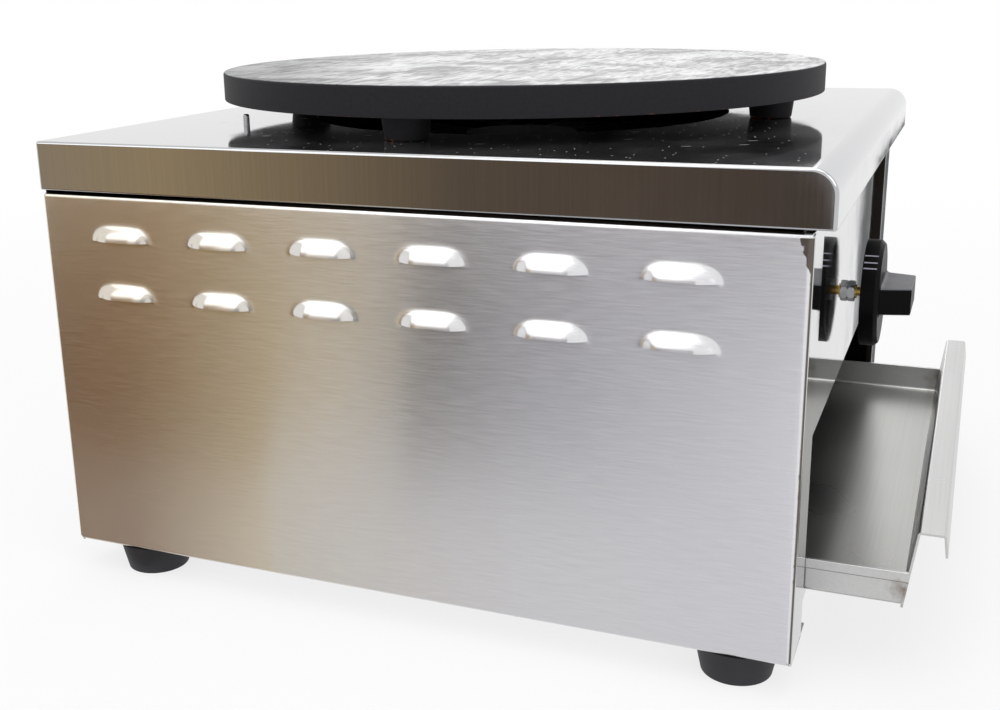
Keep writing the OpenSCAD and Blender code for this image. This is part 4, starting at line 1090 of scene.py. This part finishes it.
def stud_pair():
    """Two studs on the deck, rounded on top, held by a head under the sheet."""
    low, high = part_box("deck_studs")
    studs = []
    for x in (low.x + STUD_HEAD_R, high.x - STUD_HEAD_R):
        spot = Vector((x, (low.y + high.y) / 2, 0))
        base = spot + Vector((0, 0, low.z))
        stud = rod("deck_pins", base, spot + Vector((0, 0, high.z)), STUD_R, sides=32)
        shape(stud)
        pick("EDGE", lambda e: is_fold(e) and middle(e).z > high.z - TINY)
        bevel(STUD_ROUND, 4)
        unite(stud, rod("head", base, base + Vector((0, 0, STUD_HEAD_T)), STUD_HEAD_R, sides=32))
        studs.append(stud)
    pair = join(*studs)
    smooth(pair)
    return pair


# Finishes of this object
polished = polished_stainless(cover_high.z)
brushed = brushed_stainless(
    Vector((-x_side + SHEET / 2, front_low.y + SHEET / 2, z_under + 1.5 * SHEET)),
    Vector((x_side - SHEET / 2, back_high.y - SHEET / 2, cover_high.z)),
    Vector((-x_side, side_low.y, panel_top)))
satin = satin_stainless(tray_low, tray_high)
seasoned = seasoned_iron(plate_low, plate_high)
phenolic = moulded_plastic(valve_axis, (knob_high.z - knob_low.z) / 2, knob_high.y - KNOB_DISC_T)
rubber = foot_rubber()
# Zinc-plated steel is pale and half bright, and turned brass is yellow and a little brighter
zinc = plain_metal("zinc_plated_steel", "#9A9C9E", "#C4C6C8", 0.22, 0.4, 6)
yellow_brass = plain_metal("turned_brass", "#A8843F", "#D0AE66", 0.2, 0.38, 5)
# Galvanised sheet is grey and spangled, and the stainless sheet that stands for painted shade is nearly black
# and dull
galvanised = plain_metal("galvanised_sheet", "#67696B", "#8E9092", 0.32, 0.5, 14)
painted_shade = plain_metal("painted_shade_stainless", "#1E1B19", "#34302C", 0.5, 0.65, 20)
# Raw cast iron is dark and sandy, and the pressed fibre of a sealing washer is red and flecked
casting = grainy_solid("raw_cast_iron", "#242325", "#48464A", 0.7, 1.5, 6.0, 0.25, 0.8)
fibre = grainy_solid("sealing_fibre", "#5A1F18", "#7E352A", 0.8, 1.0, 5.0, 0.05, 0.6)

# Pieces in place of the plain solids
cover = top_cover()
stand_for(cover, "cabinet", "polished_steel", polished, "top_cover")
# The cover's inner faces take the dark sheet, as painted shade
cover.data.materials.append(painted_shade)
for face in cover.data.polygons:
    face.material_index = 1 if face.normal.dot(face.center - Vector((0, 0, cover_low.z))) < -TINY else 0
left_panel = side_panel()
right_panel = copy_moved(left_panel, "right_panel_sheet", Matrix.Scale(-1, 4, (1, 0, 0)))
for sheet, node in ((left_panel, "left_side_panel"), (right_panel, "right_side_panel")):
    smooth(sheet, 50)
    stand_for(sheet, "cabinet", "brushed_steel", brushed, node)
    sheet.data.materials.append(polished)
    sheet.data.materials.append(painted_shade)
    # Faces that look forwards are polished, and faces turned in towards the middle at the front take the dark
    # sheet, as painted shade
    for face in sheet.data.polygons:
        turned_in = face.center.y < front_low.y and face.normal.x * face.center.x < -0.5 * x_side
        face.material_index = 1 if face.normal.y < -FACING else 2 if turned_in else 0
stand_for(control_panel(), "cabinet", "polished_steel", polished, "front_panel")
stand_for(drawer_tray(), "drawer", "tray_steel", satin, "drawer_tray")
stand_for(drawer_pull(), "drawer", "tray_steel", satin, "drawer_front")
stand_for(griddle(), "plate", "cast_iron", seasoned, "griddle_plate")
stand_for(knob(), "knob", "knob_plastic", phenolic, "control_knob")
stand_for(neck_nut(), "cabinet", "zinc_steel", zinc, "panel_nut")
stand_for(inlet(), "cabinet", "brass", yellow_brass, "inlet_nipple")
stand_for(stud_pair(), "cabinet", "zinc_steel", zinc, "deck_studs")
feet = {"front_left": foot_pad()}
for name in ("front_right", "rear_left", "rear_right"):
    move = Matrix.Translation(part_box(name + "_foot")[0] - foot_low)
    feet[name] = copy_moved(feet["front_left"], name + "_pad", move)
for name, foot in feet.items():
    stand_for(foot, "cabinet", "foot_rubber", rubber, name + "_foot")
for node, columns, rows in (("cover_screws", (-1, 0, 1), (0,)), ("panel_screws", (-1, 1), (-1, 1))):
    low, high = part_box(node)
    spot = (low + high) / 2
    reach = (high - low) / 2 - Vector((SCREW_HEAD_R, 0, SCREW_HEAD_R))
    places = [Vector((spot.x + col * reach.x, high.y - SCREW_HEAD_H, spot.z + row * reach.z))
              for col in columns for row in rows]
    stand_for(screw_set(node + "_set", places), "cabinet", "zinc_steel", zinc, node)
spring = coil_spring()
stand_for(spring, "plug", "zinc_steel", zinc, "valve_spring")
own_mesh(spring)

# Solids that keep their shape
dressed = {
    brushed: ("back_panel", "bottom_panel"),
    galvanised: ("left_drawer_rail", "right_drawer_rail", "front_bridge", "rear_bridge", "air_shutter"),
    casting: ("burner_head", "mixing_tube"),
    yellow_brass: ("injector", "valve_body", "valve_plug", "valve_spindle", "pipe_nut", "supply_pipe",
                   "inlet_locknut", "shutter_screw"),
    zinc: ("bridge_screws", "bridge_nuts", "foot_screws", "foot_washers", "foot_nuts"),
    fibre: ("inlet_seal",),
}
for material, names in dressed.items():
    for name in names:
        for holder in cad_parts[name].material_slots:
            holder.material = material

# Stage: pale floor, white surroundings, soft lamps, and boards and mats that only reflections see

def seen_directly(tree):
    """One for what the camera, a reflection or glass sees, and zero for light that falls on the object."""
    rays = ("Is Camera Ray", "Is Glossy Ray", "Is Transmission Ray")
    camera, glossy, through = [add(tree, "LightPath", {}, out=ray) for ray in rays]
    either = add(tree, "Math", {0: camera, 1: glossy}, operation="MAXIMUM")
    return add(tree, "Math", {0: either, 1: through}, operation="MAXIMUM")


def pale_floor():
    """Matt pale floor that looks white to the eye and keeps the object's shadow."""
    material, tree, coords = new_material("pale_floor")
    away = add(tree, "VectorMath", {0: coords}, out="Value", operation="LENGTH")
    glow_share = add(tree, "MapRange", {"Value": away, 1: GLOW_NEAR, 2: GLOW_FAR, 3: FLOOR_GLOW, 4: 1.0})
    share = add(tree, "Math", {0: seen_directly(tree), 1: glow_share}, operation="MULTIPLY")
    matt = add(tree, "BsdfDiffuse", {"Color": colour("#F2F2F2")})
    glow = add(tree, "Emission", {"Color": colour("#FFFFFF"), "Strength": 1.0})
    return close(material, add(tree, "MixShader", {0: share, 1: matt, 2: glow}))


def board(name, mirror, span, reach, height, tints):
    """Board that only reflections see, in the left panel or in the control panel at the front.

    Its span is the stretch of that panel that it shows in, in millimetres, and its tints run along the span.
    It lies on the floor between two reaches, or stands at one, in units of the mirrored eye's distance."""
    if mirror == "left":
        across, ahead = "Y", "X"
        eye = Vector((-2 * x_side - EYE[0], EYE[1], 0))
        spots = [Vector((-x_side, y * MM, 0)) for y in span]
    else:
        across, ahead = "X", "Y"
        eye = Vector((EYE[0], 2 * front_low.y - EYE[1], 0))
        spots = [Vector((x * MM, front_low.y, 0)) for x in span]
    near = [eye + (spot - eye) * reach[0] + Vector((0, 0, height[0])) for spot in spots]
    far = [eye + (spot - eye) * reach[1] + Vector((0, 0, height[1])) for spot in reversed(spots)]
    deselect()
    bpy.ops.mesh.primitive_plane_add(size=1)
    piece = named(name)
    shape(piece)
    for face in bmesh.from_edit_mesh(piece.data).faces:
        for loop, corner in zip(face.loops, near + far):
            loop.vert.co = corner
    bmesh.update_edit_mesh(piece.data)
    deselect()
    material, tree, coords = new_material(name)
    from_eye = add(tree, "VectorMath", {0: coords, 1: eye}, operation="SUBTRACT")
    beside = add(tree, "SeparateXYZ", {"Vector": from_eye}, out=across)
    away = add(tree, "SeparateXYZ", {"Vector": from_eye}, out=ahead)
    slope = add(tree, "Math", {0: beside, 1: away}, operation="DIVIDE")
    slopes = [getattr(spot - eye, across.lower()) / getattr(spot - eye, ahead.lower()) for spot in spots]
    place = add(tree, "MapRange", {"Value": slope, 1: slopes[0], 2: slopes[1], 3: 0.0, 4: len(tints) - 1})
    tint = colour(tints[0])
    for k, code in enumerate(tints[1:]):
        fade = add(tree, "MapRange", {"Value": place, 1: k, 2: k + 1})
        tint = add(tree, "Mix", {0: fade, 6: tint, 7: colour(code)}, **IN_COLOUR)
    close(material, add(tree, "Emission", {"Color": tint, "Strength": 1.0}))
    piece.data.materials.append(material)
    piece.visible_camera = False
    piece.visible_diffuse = False
    piece.visible_shadow = False
    piece.visible_transmission = False
    piece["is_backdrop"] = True


def lamp(name, place, aim, size, power):
    """Soft square lamp at a place, turned to what it is aimed at."""
    light = bpy.data.lights.new(name, "AREA")
    light.size = size
    light.energy = power
    holder = bpy.data.objects.new(name, light)
    holder.location = place
    holder.rotation_euler = (Vector(aim) - Vector(place)).to_track_quat("-Z", "Y").to_euler()
    bpy.context.scene.collection.objects.link(holder)


deselect()
bpy.ops.mesh.primitive_plane_add(size=FLOOR_SIZE, location=(0, 0, cad_low.z))
floor = named("floor")
floor.data.materials.append(pale_floor())
floor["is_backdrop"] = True
for settings in BOARDS:
    board(*settings)

world = bpy.data.worlds.new("white_surroundings")
bpy.context.scene.world = world
world.use_nodes = True
sky = world.node_tree
sky.nodes.clear()
strength = add(sky, "MapRange", {"Value": seen_directly(sky), 3: SKY_LIGHT, 4: 1.0})
add(sky, "OutputWorld", {"Surface": add(sky, "Background", {"Color": colour("#FFFFFF"),
                                                            "Strength": strength})})
for settings in LAMPS:
    lamp(*settings)

# Camera, at the photograph's place and angle
lens = bpy.data.cameras.new("camera")
lens.sensor_width = SENSOR_WIDTH
lens.lens = SENSOR_WIDTH * FOCAL_PIXELS / PHOTO_WIDTH
lens.shift_x = (PHOTO_WIDTH / 2 - VIEW_CENTRE[0]) / PHOTO_WIDTH
lens.shift_y = (VIEW_CENTRE[1] - PHOTO_HEIGHT / 2) / PHOTO_WIDTH
camera = bpy.data.objects.new("camera", lens)
aim = Euler((math.radians(90 + EYE_PITCH), 0, math.radians(EYE_YAW - 90))).to_matrix()
camera.rotation_euler = (aim @ Matrix.Rotation(math.radians(EYE_ROLL), 3, "Z")).to_euler()
camera.location = EYE
bpy.context.scene.collection.objects.link(camera)
bpy.context.scene.camera = camera
bpy.context.scene.view_settings.view_transform = "Standard"

low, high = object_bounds()
